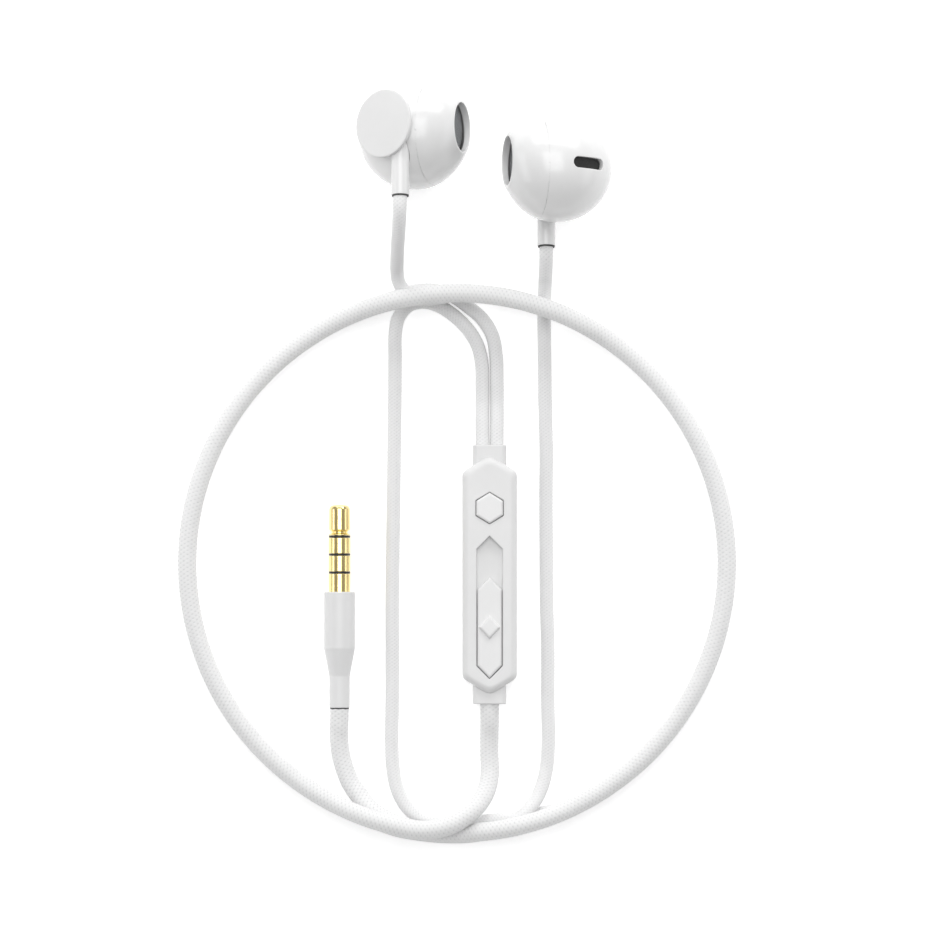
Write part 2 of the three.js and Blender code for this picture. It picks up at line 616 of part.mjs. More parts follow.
// ---------------------------------------------------------------- plug
function buildPlug() {
  const plug = new THREE.Group();
  plug.position.set(PLUG_X, PLUG_Y, HOUSING_RADIUS + 0.02);
  assembly.add(plug);
  const half = INSULATOR_WIDTH / 2;
  const seam = 0.03;
  const coreRadius = 0.8;
  const bore = 0.9;
  const [first, second, third] = POLE_GAPS;
  const pole = (name, from, to) => place(plug, name, ring(bore, PIN_RADIUS, from, to), gold);
  pole('plug_sleeve', -3.0, first - half - seam);
  pole('plug_ring_2', first + half + seam, second - half - seam);
  pole('plug_ring_1', second + half + seam, third - half - seam);
  POLE_GAPS.forEach((middle, index) => {
    const name = `plug_insulator_${POLE_GAPS.length - index}`;
    place(plug, name, ring(bore, PIN_RADIUS - 0.02, middle - half, middle + half), blackPlastic);
  });
  const base = third + half + seam;
  const socketDepth = 0.6;
  const tip = turned([
    [bore, base], [PIN_RADIUS, base], [PIN_RADIUS - 0.05, base + 0.15], [1.3, base + 0.4], [1.3, base + 0.55],
    [PIN_RADIUS - 0.05, base + 0.85], [PIN_RADIUS - 0.05, PIN_LENGTH - 0.6], [1.5, PIN_LENGTH - 0.2],
    [1.05, PIN_LENGTH], [0, PIN_LENGTH], [0, base + socketDepth], [bore, base + socketDepth], [bore, base],
  ]);
  place(plug, 'plug_tip', tip, gold);
  place(plug, 'plug_core', rod(coreRadius, -3.4, base + socketDepth - 0.1, 12), blackPlastic);
  const mouth = PIN_RADIUS + 0.1;
  place(plug, 'plug_housing', turned([
    [1.3, HOUSING_END], [HOUSING_TAIL_RADIUS, HOUSING_END], [HOUSING_TAIL_RADIUS, HOUSING_TAPER_END],
    [HOUSING_RADIUS, HOUSING_TAPER_START], [HOUSING_RADIUS, 0], [mouth, 0], [mouth, -3.2],
    [1.6, -3.2], [1.6, HOUSING_TAPER_START], [1.3, HOUSING_TAPER_END], [1.3, HOUSING_END],
  ], 20), satinWhite);
  place(plug, 'plug_crimp', rod(1.2, -8.2, -4.2, 12), steel);
  place(plug, 'plug_grommet', ring(0.6, 1.2, HOUSING_END + 0.1, HOUSING_END + 0.8, 12), darkRubber);
}

// ---------------------------------------------------------------- cords
const at = (x, y, z) => new THREE.Vector3(x, y, z);

// A point above the ring: degrees clockwise from +Y about the ring's centre.
function onRing(degrees, radius, z) {
  const angle = THREE.MathUtils.degToRad(degrees);
  return at(RING_CENTRE_X + radius * Math.sin(angle), RING_CENTRE_Y + radius * Math.cos(angle), z);
}

function ringArc(from, to, count, z) {
  const points = [];
  for (let i = 0; i < count; i += 1) {
    points.push(onRing(from + ((to - from) * i) / (count - 1), RING_RADIUS, z));
  }
  return points;
}

// From the remote, once round clockwise on top of the ear wires, then under its own
// start and off to the plug.
const MAIN_ROUTE = [
  at(0, NECK_BOTTOM - CORD_GAP, CABLE_HEIGHT), at(0, -23.4, 2.7),
  at(-0.05, -26.0, 1.9), at(-0.05, -29.0, 1.55),
  at(0.05, -31.5, 1.75), at(-0.25, -33.9, 2.6), at(-1.35, -36.3, 4.2),
  at(-3.3, -38.4, 5.85), at(-6.2, -40.2, 6.85),
  onRing(185.5, 43.1, 6.95), onRing(190, 43.5, 6.9), onRing(196, 43.5, 6.8), onRing(202, 43.5, 6.1),
  onRing(209, 43.5, 4.8), onRing(217, 43.5, 3.95),
  ...ringArc(226, 330, 12, RING_HEIGHT),
  onRing(337, 43.5, 4.5), onRing(343, 43.5, 5.7), onRing(349, 43.5, 6.85), onRing(355, 43.5, 6.9),
  ...ringArc(363, 380, 3, 6.5),
  onRing(387, 43.5, 5.9), onRing(394, 43.5, 4.6), onRing(402, 43.5, 3.9),
  ...ringArc(411, 507, 11, RING_HEIGHT),
  onRing(514, 43.5, 4.4), onRing(520, 43.5, 5.5), onRing(526.5, 43.5, 6.3), onRing(532, 43.5, 5.8),
  onRing(538, 43.5, 4.45), onRing(544, 43.5, 3.75), onRing(550, 43.45, 3.7), onRing(555, 43.0, 3.6),
  onRing(559, 42.2, 3.2), onRing(563, 40.6, 2.2), at(-22.6, -33.2, 1.6), at(-23.9, -29.4, 1.55),
  at(-24.3, -26.2, 1.9), at(-24.25, -23.9, 2.35),
  at(PLUG_X, PLUG_Y + HOUSING_END - CORD_GAP, HOUSING_RADIUS + 0.02),
];

// From the right bud straight down, round under the left half of the ring, and into
// the remote's right-hand hole.
const RIGHT_ROUTE = [
  at(9.13, 52.7, 5.5), at(9.12, 51.2, 5.5), at(9.05, 49.1, 4.2),
  at(8.95, 47.0, 2.2), at(8.87, 44.7, 1.25),
  at(8.8, 41.0, FLOOR_WIRE), at(8.9, 34.0, FLOOR_WIRE),
  at(8.95, 28.2, FLOOR_WIRE), at(9.15, 20.2, FLOOR_WIRE),
  at(9.1, 12.1, FLOOR_WIRE), at(9.15, 4.0, FLOOR_WIRE),
  at(9.2, -4.0, FLOOR_WIRE), at(9.4, -12.1, FLOOR_WIRE),
  at(9.4, -20.2, FLOOR_WIRE), at(9.5, -27.0, FLOOR_WIRE),
  at(9.1, -31.6, 1.25), at(7.9, -35.4, 2.1), at(5.6, -38.5, 3.4), at(2.8, -40.5, 3.4),
  onRing(174.0, 43.9, 2.6), onRing(178.5, 44.15, 1.4), onRing(183, 44.2, FLOOR_WIRE),
  onRing(188, 44.2, FLOOR_WIRE), onRing(193, 44.2, FLOOR_WIRE), onRing(200, 43.8, FLOOR_WIRE),
  ...ringArc(208, 336, 15, FLOOR_WIRE),
  onRing(342, 43.7, 1.2), onRing(347, 44.1, 1.6), onRing(351.5, 44.4, 2.1), onRing(355.5, 44.1, 2.05),
  onRing(359, 43.1, 1.4), onRing(362.5, 41.4, FLOOR_WIRE),
  at(-1.15, 41.3, FLOOR_WIRE), at(0.45, 38.6, FLOOR_WIRE), at(1.05, 35.4, FLOOR_WIRE),
  at(1.17, 31.5, FLOOR_WIRE), at(1.2, 28.0, 1.3), at(1.18, 24.6, 2.4),
  at(EAR_WIRE_SPACING / 2, NECK_TOP + CORD_GAP, CABLE_HEIGHT),
];

// From the left bud down under the ring, round under its right half, back up the
// inside on the left, and into the remote's left-hand hole.
const LEFT_ROUTE = [
  at(-14.36, 60.75, 17.7), at(-14.42, 59.0, 17.75), at(-14.52, 56.9, 16.8), at(-14.66, 54.8, 14.6),
  at(-14.8, 52.8, 11.8), at(-14.9, 50.9, 8.9), at(-14.93, 49.0, 6.4), at(-14.6, 47.1, 4.9),
  at(-13.4, 45.5, 4.35), at(-11.4, 44.55, 4.25), onRing(-4, 42.85, 4.15),
  onRing(0, 43.3, 3.85), onRing(5, 43.5, 3.65),
  onRing(11, 43.5, 3.6), onRing(18, 43.5, 3.6), onRing(25, 43.5, 2.6), onRing(31, 43.5, 1.5),
  ...ringArc(38, 148, 13, FLOOR_WIRE),
  onRing(156, 43.1, FLOOR_WIRE), onRing(163, 42.5, FLOOR_WIRE), onRing(170, 42.0, FLOOR_WIRE),
  onRing(177, 41.85, FLOOR_WIRE), onRing(183, 41.8, FLOOR_WIRE), onRing(187.5, 41.6, FLOOR_WIRE),
  at(-13.1, -37.7, FLOOR_WIRE), at(-14.9, -34.6, FLOOR_WIRE), at(-15.6, -31.0, FLOOR_WIRE),
  at(-15.8, -26.5, FLOOR_WIRE), at(-15.7, -20.2, FLOOR_WIRE), at(-15.7, -12.1, FLOOR_WIRE),
  at(-15.7, -4.0, FLOOR_WIRE), at(-15.6, 4.0, FLOOR_WIRE), at(-15.5, 12.1, FLOOR_WIRE),
  at(-15.4, 20.2, FLOOR_WIRE), at(-15.3, 28.2, FLOOR_WIRE), at(-15.25, 34.5, FLOOR_WIRE),
  at(-15.2, 39.2, FLOOR_WIRE), at(-14.6, 41.7, FLOOR_WIRE),
  at(-13.0, 43.5, FLOOR_WIRE), at(-10.9, 44.05, FLOOR_WIRE),
  at(-8.6, 43.6, FLOOR_WIRE), at(-6.2, 42.2, FLOOR_WIRE),
  at(-3.9, 40.1, FLOOR_WIRE), at(-2.1, 37.4, FLOOR_WIRE),
  at(-1.3, 34.4, FLOOR_WIRE), at(-1.17, 31.0, FLOOR_WIRE), at(-1.17, 28.0, 1.3), at(-1.17, 24.6, 2.4),
  at(-EAR_WIRE_SPACING / 2, NECK_TOP + CORD_GAP, CABLE_HEIGHT),
];

function buildCord(name, route, radius, steps) {
  const section = new THREE.Shape();
  for (let side = 0; side < CORD_SIDES; side += 1) {
    const angle = (2 * Math.PI * (side + 0.5)) / CORD_SIDES;
    const corner = [radius * Math.cos(angle), radius * Math.sin(angle)];
    if (side === 0) section.moveTo(...corner);
    else section.lineTo(...corner);
  }
  section.closePath();
  const extrudePath = new THREE.CatmullRomCurve3(route, false, 'centripetal');
  const cord = new THREE.ExtrudeGeometry(section, { steps, extrudePath, curveSegments: 1 });
  place(assembly, name, cord, braidWhite);
}

for (const side of Object.keys(BUDS)) buildBud(side);
buildRemoteShells();
buildGlands();
buildElectronics();
buildAnswerButton();
buildVolumeSlider();
buildPlug();
buildCord('main_cable', MAIN_ROUTE, MAIN_CABLE_RADIUS, MAIN_CABLE_STEPS);
buildCord('right_ear_wire', RIGHT_ROUTE, EAR_WIRE_RADIUS, EAR_WIRE_STEPS);
buildCord('left_ear_wire', LEFT_ROUTE, EAR_WIRE_RADIUS, EAR_WIRE_STEPS);

export default assembly;
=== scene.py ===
"""The looks of the wired earphones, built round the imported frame.

Sizes are in millimetres, and mesh_object turns them into metres. The camera looks straight
down on the earphones, which lie on a pale floor amid four soft panels.
"""

import math

import bpy
import numpy as np
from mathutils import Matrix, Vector


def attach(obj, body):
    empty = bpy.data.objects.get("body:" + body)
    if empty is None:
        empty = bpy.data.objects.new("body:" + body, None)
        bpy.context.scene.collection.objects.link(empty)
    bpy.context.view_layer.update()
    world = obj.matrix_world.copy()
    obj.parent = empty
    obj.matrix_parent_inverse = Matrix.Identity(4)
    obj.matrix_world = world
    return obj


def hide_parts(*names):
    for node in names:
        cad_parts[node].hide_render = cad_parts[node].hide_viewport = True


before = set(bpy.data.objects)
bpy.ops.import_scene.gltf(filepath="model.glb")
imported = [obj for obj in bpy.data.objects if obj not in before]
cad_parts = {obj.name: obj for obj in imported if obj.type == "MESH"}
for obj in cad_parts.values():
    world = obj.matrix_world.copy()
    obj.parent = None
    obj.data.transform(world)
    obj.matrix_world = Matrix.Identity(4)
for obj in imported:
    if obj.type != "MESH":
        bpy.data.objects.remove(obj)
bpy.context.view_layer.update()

MM = 0.001
COARSE = 1.0
FILLET_STEPS, WIRE_SIDES = 5, 5
SLOPE_STEP = 0.01  # half the distance over which a field's slope is measured

# ---------------------------------------------------------------- sizes, as in the CAD part
BULB_RADIUS, BULB_FRONT, BULB_REAR = 8.65, 9.0, 9.2
SHELL_WALL = 1.0
SEAM_PLANE, BUD_SEAM_HALF_GAP = 2.6, 0.002
NOZZLE_PLANE, NOZZLE_RADIUS, NOZZLE_ELEVATION = 7.85, 3.95, -1.2
NOZZLE_RAISE, MESH_RADIUS, MESH_BACK, MESH_FRONT = 1.1, 3.88, 6.3, 6.55
DISC_AZIMUTH, DISC_ELEVATION, DISC_RAISE, DISC_SHIFT = -110, -1, 0.64, 0.5
DISC_RADIUS, DISC_FRONT, DISC_THICKNESS = 5.55, 9.2, 0.7
BARREL_RADIUS, BARREL_BORE, BARREL_BASE, BARREL_TOP = 4.3, 2.9, 4.0, 8.35
SPIGOT_WALL, SPIGOT_LENGTH = 0.7, 1.4
SLOT_AZIMUTH, SLOT_ELEVATION, SLOT_TILT = 118.5, -3.2, 1.5
SLOT_LENGTH, SLOT_WIDTH = 5.9, 1.8
VENT_RADIUS, VENT_THICKNESS = 8.3, 0.3
STEM_AZIMUTH, STEM_OFFSET, STEM_RADIUS, STEM_BORE = -91.3, 7.3, 1.45, 1.15
STEM_TOP, STEM_END = -2.6, -11.2
STEM_MOUTH, STEM_STEP = 1.3, 0.9  # the bore is wider just inside the stem's end
# The dark ring at each stem's end is painted shade: it stands in for the shadow inside the stem's
# open end.
PAINTED_SHADE_RING_BORE, PAINTED_SHADE_RING_LIP, PAINTED_SHADE_RING_PROUD = 1.1, 0.06, 0.24
BUD_TILT = 11
BUDS = {"left": ((-11.85, 70.7, 8.68), 71.5), "right": ((10.5, 65.4, 10.5), -78)}

REMOTE_HALF_WIDTH, REMOTE_APEX, REMOTE_SLOPE = 4.4, 19.5, math.radians(33)
REMOTE_THICKNESS, REMOTE_CHAMFER, REMOTE_WALL, REMOTE_SEAM = 5.8, 0.65, 0.9, 2.9
RIDGE_ROUNDING = 0.7
SEAM_HALF_GAP = 0.03  # of the remote's two halves
NECK_HALF_WIDTH, NECK_HALF_HEIGHT, NECK_ROUNDING = 2.7, 1.8, 0.8
NECK_TOP, NECK_BOTTOM, NECK_BORE_DEPTH, NECK_BORE_GAP = 21.0, -20.8, 2.2, 0.06
CABLE_HEIGHT, EAR_WIRE_SPACING = 3.0, 2.3
BUTTON_Y, BUTTON_HALF_WIDTH, BUTTON_HALF_HEIGHT, BUTTON_POINT = 10.8, 2.15, 2.5, 1.35
BUTTON_PROUD, FLANGE_REACH, FLANGE_THICKNESS = 0.35, 0.45, 0.55
CHANNEL_HALF_WIDTH, CHANNEL_TOP, CHANNEL_BOTTOM, CHANNEL_POINT = 2.1, 6.3, -16.75, 2.1
CHANNEL_DEPTH, TRAY_RIM, TRAY_THICKNESS = 0.9, 0.7, 0.8
PORT_Y, PORT_RADIUS = 5, 0.45
SLIDER_TOP, SLIDER_PROUD, SLIDER_TRAVEL = -0.35, 0.2, 6.3
GRIP_Y, GRIP_HALF_WIDTH, GRIP_HALF_HEIGHT = -8.4, 1.72, 1.85
LEG_WIDTH, LEG_LENGTH, LEG_BOTTOM, SLIT_WIDTH = 0.7, 1.6, 3.9, 1.0
GAP = 0.15

PLUG_CENTRE = (-24.2, -2.7, 2.52)
PIN_RADIUS, PIN_LENGTH, PIN_BORE = 1.75, 14.0, 0.9
POLE_GAPS, INSULATOR_WIDTH = (3.1, 6.0, 8.9), 0.34
HOUSING_RADIUS, HOUSING_BORE, HOUSING_MOUTH_DEPTH = 2.5, 1.6, 3.2
TAIL_RADIUS, TAIL_BORE, TAIL_SEAL_RADIUS, TAIL_SEAL_BORE = 1.65, 1.42, 1.53, 1.0
HOUSING_TAPER_START, HOUSING_TAPER_END, HOUSING_END = -9.1, -13.6, -18.7

RING_CENTRE, RING_RADIUS, RING_HEIGHT = (-5.26, 1.94), 43.5, 3.8
FLOOR_WIRE = 1.12
MAIN_RADIUS, EAR_RADIUS = 1.5, 1.1

# ---------------------------------------------------------------- camera, floor and light
VIEW_CENTRE, VIEW_WIDTH, VIEW_HEIGHT = (-3.16, 16.94), 151.6, 2500.0


def make_camera():
    """Looks straight down, with +Y at the top of the picture."""
    data = bpy.data.cameras.new("camera")
    data.sensor_width = 36.0
    data.lens = data.sensor_width * (VIEW_HEIGHT - CABLE_HEIGHT) / VIEW_WIDTH
    data.clip_start, data.clip_end = 0.01, 20.0
    camera = bpy.data.objects.new("camera", data)
    camera.location = (VIEW_CENTRE[0] * MM, VIEW_CENTRE[1] * MM, VIEW_HEIGHT * MM)
    bpy.context.scene.collection.objects.link(camera)
    bpy.context.scene.camera = camera


def make_panel(name, centre, target, size, radiance):
    """A soft rectangular light of the given radiance, in metres, facing its target."""
    data = bpy.data.lights.new(name, "AREA")
    data.shape = "RECTANGLE"
    data.size, data.size_y = size
    data.energy = radiance * 4.0 * size[0] * size[1]
    panel = bpy.data.objects.new(name, data)
    panel.location = centre
    direction = np.array(target, float) - np.array(centre, float)
    panel.rotation_mode = "QUATERNION"
    panel.rotation_quaternion = Vector(direction).to_track_quat("-Z", "Y")
    bpy.context.scene.collection.objects.link(panel)


def make_light():
    world = bpy.data.worlds.new("studio")
    world.use_nodes = True
    background = world.node_tree.nodes["Background"]
    background.inputs["Color"].default_value = (1.0, 1.0, 1.0, 1.0)
    background.inputs["Strength"].default_value = 0.36
    bpy.context.scene.world = world
    aimed_at = (0.0, 0.02, 0.0)
    make_panel("overhead_panel", (-0.03, 0.33, 1.1), aimed_at, (0.8, 0.9), 2.3)
    make_panel("back_panel", (0.1, 1.25, 0.55), aimed_at, (1.9, 0.6), 2.7)
    make_panel("left_panel", (-1.1, -0.05, 0.4), aimed_at, (1.0, 0.4), 1.5)
    make_panel("right_panel", (1.1, -0.05, 0.4), aimed_at, (1.0, 0.4), 0.9)
    settings = bpy.context.scene.view_settings
    settings.view_transform = "Standard"


# ---------------------------------------------------------------- node materials
class Shader:
    """A small builder for one Principled material."""

    def __init__(self, name, **constants):
        self.material = bpy.data.materials.new(name)
        self.material.use_nodes = True
        self.tree = self.material.node_tree
        self.surface = self.tree.nodes["Principled BSDF"]
        for key, value in constants.items():
            self.constant(key.replace("_", " ").title().replace("Ior", "IOR"), value)

    def constant(self, key, value):
        self.surface.inputs[key].default_value = value

    def node(self, kind, **settings):
        made = self.tree.nodes.new("ShaderNode" + kind)
        for key, value in settings.items():
            setattr(made, key, value)
        return made

    def feed(self, socket, value):
        if hasattr(value, "links"):
            self.tree.links.new(value, socket)
        else:
            socket.default_value = value

    def math(self, operation, a, b=0.0, c=0.0):
        made = self.node("Math", operation=operation)
        for socket, value in zip(made.inputs, (a, b, c)):
            self.feed(socket, value)
        return made.outputs[0]

    def place(self):
        return self.node("TexCoord").outputs["Object"]

    def noise(self, scale, detail=3.0, roughness=0.55, stretch=None):
        """Noise in object space; scale is features per metre, stretch scales each axis."""
        where = self.place()
        if stretch:
            mapping = self.node("Mapping")
            self.feed(mapping.inputs["Vector"], where)
            mapping.inputs["Scale"].default_value = stretch
            where = mapping.outputs["Vector"]
        made = self.node("TexNoise")
        self.feed(made.inputs["Vector"], where)
        made.inputs["Scale"].default_value = scale
        made.inputs["Detail"].default_value = detail
        made.inputs["Roughness"].default_value = roughness
        return made.outputs["Fac"]

    def between(self, factor, low, high, start=0.3, end=0.7):
        """A number from low to high as factor goes from start to end."""
        made = self.node("MapRange")
        for key, value in zip(("Value", "From Min", "From Max", "To Min", "To Max"),
                              (factor, start, end, low, high)):
            self.feed(made.inputs[key], value)
        return made.outputs["Result"]

    def blend(self, factor, first, second):
        made = self.node("Mix", data_type="RGBA")
        self.feed(made.inputs["Factor"], factor)
        self.feed(made.inputs["A"], (*first, 1.0))
        self.feed(made.inputs["B"], (*second, 1.0))
        return made.outputs["Result"]

    def colour(self, value):
        self.feed(self.surface.inputs["Base Color"], value)

    def roughness(self, value):
        self.feed(self.surface.inputs["Roughness"], value)

    def bump(self, height, depth, strength=1.0):
        """Relief of the given depth in metres."""
        made = self.node("Bump")
        made.inputs["Strength"].default_value = strength
        made.inputs["Distance"].default_value = depth
        self.feed(made.inputs["Height"], height)
        self.feed(self.surface.inputs["Normal"], made.outputs["Normal"])


def moulded(name, shade, rough, texture_depth, texture_scale, coat=None, coat_roughness=None):
    """A moulded plastic: faint cloudy tone, fine surface texture and uneven polish."""
    shader = Shader(name)
    if coat:
        shader.constant("Coat Weight", coat)
        shader.constant("Coat Roughness", coat_roughness)
    cloud = shader.noise(140, 3)
    dark = tuple(channel * 0.965 for channel in shade)
    shader.colour(shader.blend(shader.between(cloud, 0.0, 1.0), dark, shade))
    shader.roughness(shader.between(shader.noise(900, 4), rough * 0.85, rough * 1.2))
    shader.bump(shader.noise(texture_scale, 2, 0.6), texture_depth)
    return shader.material


def make_braid(name, filaments):
    """Textile braid: the mesh carries the strands, and the lay attribute their filaments. The
    colour carries painted shade, darker in the grooves between strands.
    """
    shader = Shader(name, roughness=0.85, sheen_weight=0.25, sheen_roughness=0.5)
    lay = shader.node("Attribute", attribute_name="lay")
    split = shader.node("SeparateXYZ")
    shader.feed(split.inputs[0], lay.outputs["Vector"])
    first, second, height = split.outputs
    wave = [shader.math("SINE", shader.math("MULTIPLY", x, math.pi)) for x in (first, second)]
    lift = shader.math("MULTIPLY", *wave)
    on_top = shader.between(lift, 0.0, 1.0, -0.08, 0.08)
    threads = [shader.math("SINE", shader.math("MULTIPLY", x, 2 * math.pi * filaments))
               for x in (first, second)]
    mixed = shader.node("Mix")
    shader.feed(mixed.inputs["Factor"], on_top)
    shader.feed(mixed.inputs["A"], threads[1])
    shader.feed(mixed.inputs["B"], threads[0])
    fuzz = shader.noise(7000, 3)
    # Painted shade: the colour darkens in the grooves between strands, where the braid's height is
    # low. The noise adds a random tone on top.
    painted_groove_shade = shader.between(height, 0.0, 1.0, 0.25, 0.85)
    tone = shader.math("MULTIPLY_ADD", shader.noise(260, 2), 0.25, painted_groove_shade)
    shader.colour(shader.blend(tone, (0.50, 0.50, 0.51), (0.80, 0.80, 0.80)))
    shader.bump(shader.math("MULTIPLY_ADD", mixed.outputs["Result"], 0.5, fuzz), 0.00003, 0.6)
    return shader.material


def make_gold(name):
    shader = Shader(name, metallic=1.0)
    worn = shader.noise(500, 4, 0.6)
    shader.colour(shader.blend(worn, (0.90, 0.70, 0.30), (0.97, 0.82, 0.42)))
    shader.roughness(shader.between(shader.noise(1500, 4), 0.10, 0.2))
    turning = shader.noise(900, 2, 0.5, stretch=(0.05, 8.0, 0.05))
    shader.bump(turning, 0.0000004)
    return shader.material


def metal(name, shade, rough):
    """Drawn or plated metal with a fine directional grain and a little tarnish."""
    shader = Shader(name, metallic=1.0)
    tarnish = shader.noise(600, 4)
    dark = tuple(channel * 0.75 for channel in shade)
    shader.colour(shader.blend(tarnish, dark, shade))
    shader.roughness(shader.between(shader.noise(1500, 3), rough * 0.7, rough * 1.3))
    shader.bump(shader.noise(2500, 2, 0.5, stretch=(1.0, 0.08, 1.0)), 0.000002)
    return shader.material


def dark_soft(name, rough, dark, light, tone_scale, texture_scale, detail):
    """A dark, soft finish with a patchy tone and a fine texture."""
    shader = Shader(name, roughness=rough)
    shader.colour(shader.blend(shader.noise(tone_scale, detail), [dark] * 3, [light] * 3))
    shader.bump(shader.noise(texture_scale, detail), 0.00001)
    return shader.material


def make_foam(name):
    shader = Shader(name, roughness=0.95)
    cells = shader.node("TexVoronoi")
    shader.feed(cells.inputs["Vector"], shader.place())
    cells.inputs["Scale"].default_value = 4500
    depth = cells.outputs["Distance"]
    shader.colour(shader.blend(shader.between(depth, 0.0, 1.0, 0.0, 0.6),
                               (0.20, 0.20, 0.20), (0.06, 0.06, 0.06)))
    shader.bump(depth, 0.00008)
    return shader.material


def make_board(name):
    """Solder mask over copper tracks that run along the board."""
    shader = Shader(name, coat_weight=0.4)
    tracks = shader.node("TexWave", wave_type="BANDS", bands_direction="X")
    shader.feed(tracks.inputs["Vector"], shader.place())
    tracks.inputs["Scale"].default_value = 350
    tracks.inputs["Distortion"].default_value = 0.6
    lines = shader.between(tracks.outputs["Fac"], 0.0, 1.0, 0.55, 0.65)
    shader.colour(shader.blend(lines, (0.012, 0.10, 0.035), (0.04, 0.26, 0.09)))
    shader.roughness(shader.between(shader.noise(1200, 3), 0.25, 0.45))
    shader.bump(lines, 0.00002)
    return shader.material


def make_floor_material():
    shader = Shader("floor", roughness=0.9, specular_ior_level=0.1)
    shader.colour(shader.blend(shader.noise(6, 2), (0.93, 0.93, 0.93), (0.95, 0.95, 0.95)))
    shader.constant("Emission Color", (1.0, 1.0, 1.0, 1.0))
    shader.constant("Emission Strength", 0.35)
    return shader.material


def make_floor():
    side = 6.0
    mesh = bpy.data.meshes.new("floor")
    corners = [(-side, -side, 0), (side, -side, 0), (side, side, 0), (-side, side, 0)]
    mesh.from_pydata(corners, [], [(0, 1, 2, 3)])
    floor = bpy.data.objects.new("floor", mesh)
    floor.location.z = -0.02 * MM
    mesh.materials.append(make_floor_material())
    bpy.context.scene.collection.objects.link(floor)


# ---------------------------------------------------------------- meshes
def mesh_object(name, points, faces, slot, body="root", nodes=(), creased=False):
    """A piece from points in millimetres. It stands for the CAD nodes and rides on a body."""
    mesh = bpy.data.meshes.new(name)
    mesh.from_pydata(np.asarray(points, float) * MM, [], faces)
    mesh.update()
    mesh.validate()
    mesh.polygons.foreach_set("use_smooth", [True] * len(mesh.polygons))
    if creased:
        mesh.set_sharp_from_angle(angle=math.radians(45))
    mesh.materials.append(MATERIALS[slot])
    piece = bpy.data.objects.new(name, mesh)
    bpy.context.scene.collection.objects.link(piece)
    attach(piece, body)
    if nodes:
        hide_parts(*nodes)
    return piece


def weighted_normals(mesh):
    """Makes each normal follow its largest faces, so that straight walls shade straight."""
    normals = np.zeros((len(mesh.vertices), 3))
    for face in mesh.polygons:
        normals[list(face.vertices)] += np.array(face.normal) * face.area
    normals /= np.linalg.norm(normals, axis=1)[:, None]
    mesh.normals_split_custom_set_from_vertices(normals.tolist())


def joined(*parts):
    """Several (points, faces) as one."""
    points, faces, count = [], [], 0
    for part_points, part_faces in parts:
        points.append(np.asarray(part_points, float))
        faces.extend([tuple(int(i) + count for i in face) for face in part_faces])
        count += len(part_points)
    return np.concatenate(points), faces


def fillet(corners, closed=False):
    """An outline with its corners rounded. A corner is (x, y) or (x, y, rounding radius)."""
    made = []
    count = len(corners)
    for index, corner in enumerate(corners):
        here = np.array(corner[:2], float)
        radius = corner[2] if len(corner) > 2 else 0
        if not radius or (not closed and index in (0, count - 1)):
            made.append(here)
            continue
        before = np.array(corners[index - 1][:2], float) - here
        after = np.array(corners[(index + 1) % count][:2], float) - here
        lengths = np.linalg.norm(before), np.linalg.norm(after)
        before, after = before / lengths[0], after / lengths[1]
        half = math.acos(np.clip(before @ after, -1, 1)) / 2
        reach = min(radius / math.tan(half), 0.49 * lengths[0], 0.49 * lengths[1])
        radius = reach * math.tan(half)
        middle = here + (before + after) / np.linalg.norm(before + after) * radius / math.sin(half)
        first, last = here + before * reach - middle, here + after * reach - middle
        for share in np.linspace(0, 1, FILLET_STEPS + 1):
            mixed = first * (1 - share) + last * share
            made.append(middle + mixed / np.linalg.norm(mixed) * radius)
    return made


def lathe(outline, sides=96, closed=False):
    """A solid of revolution about +Y from (radius, height) corners with their roundings.
    A closed outline makes a ring; an open one starts and ends on the axis."""
    profile = np.array(fillet(outline, closed=closed))
    rings = profile if closed else profile[1:-1]
    angles = np.arange(sides) * 2 * math.pi / sides
    points = np.empty((len(rings), sides, 3))
    points[..., 0] = rings[:, :1] * np.sin(angles)
    points[..., 1] = rings[:, 1:]
    points[..., 2] = rings[:, :1] * np.cos(angles)
    points = points.reshape(-1, 3)
    here, beside = np.arange(sides), (np.arange(sides) + 1) % sides
    starts = np.arange(len(rings)) * sides
    if not closed:
        starts += 1
        points = np.vstack([(0, profile[0, 1], 0), points, (0, profile[-1, 1], 0)])
    faces = []
    for low, high in zip(starts, [*starts[1:], starts[0]] if closed else starts[1:]):
        faces += np.stack([low + here, low + beside, high + beside, high + here], 1).tolist()
    if not closed:
        last, top = len(points) - 1, int(starts[-1])
        faces += [(0, 1 + int(b), 1 + int(a)) for a, b in zip(here, beside)]
        faces += [(last, top + int(a), top + int(b)) for a, b in zip(here, beside)]
    return points, faces


# ---------------------------------------------------------------- distance fields
def smooth_max(a, b, rounding):
    return np.maximum(a, b) + np.maximum(rounding - np.abs(a - b), 0) ** 2 / (4 * rounding)


def smooth_min(a, b, rounding):
    return -smooth_max(-a, -b, rounding)


def carve(body, tool, rounding):
    """The body less the tool, with the new edge rounded."""
    return smooth_max(body, -tool, rounding)


def slab(value, low, high):
    """Distance to the space between two parallel planes."""
    return np.abs(value - (low + high) / 2) - (high - low) / 2


def rounded_box(x, y, half_x, half_y, radius):
    qx, qy = np.abs(x) - half_x + radius, np.abs(y) - half_y + radius
    outside = np.hypot(np.maximum(qx, 0), np.maximum(qy, 0))
    return outside + np.minimum(np.maximum(qx, qy), 0) - radius


def ellipsoid(q, radius, rear, front):
    """Two half ellipsoids of revolution about Z that share their widest circle."""
    depth = np.where(q[..., 2] > 0, front, rear)
    across = np.hypot(q[..., 0], q[..., 1])
    k0 = np.hypot(across / radius, q[..., 2] / depth)
    k1 = np.hypot(across / radius ** 2, q[..., 2] / depth ** 2)
    return k0 * (k0 - 1) / np.maximum(k1, 1e-4)


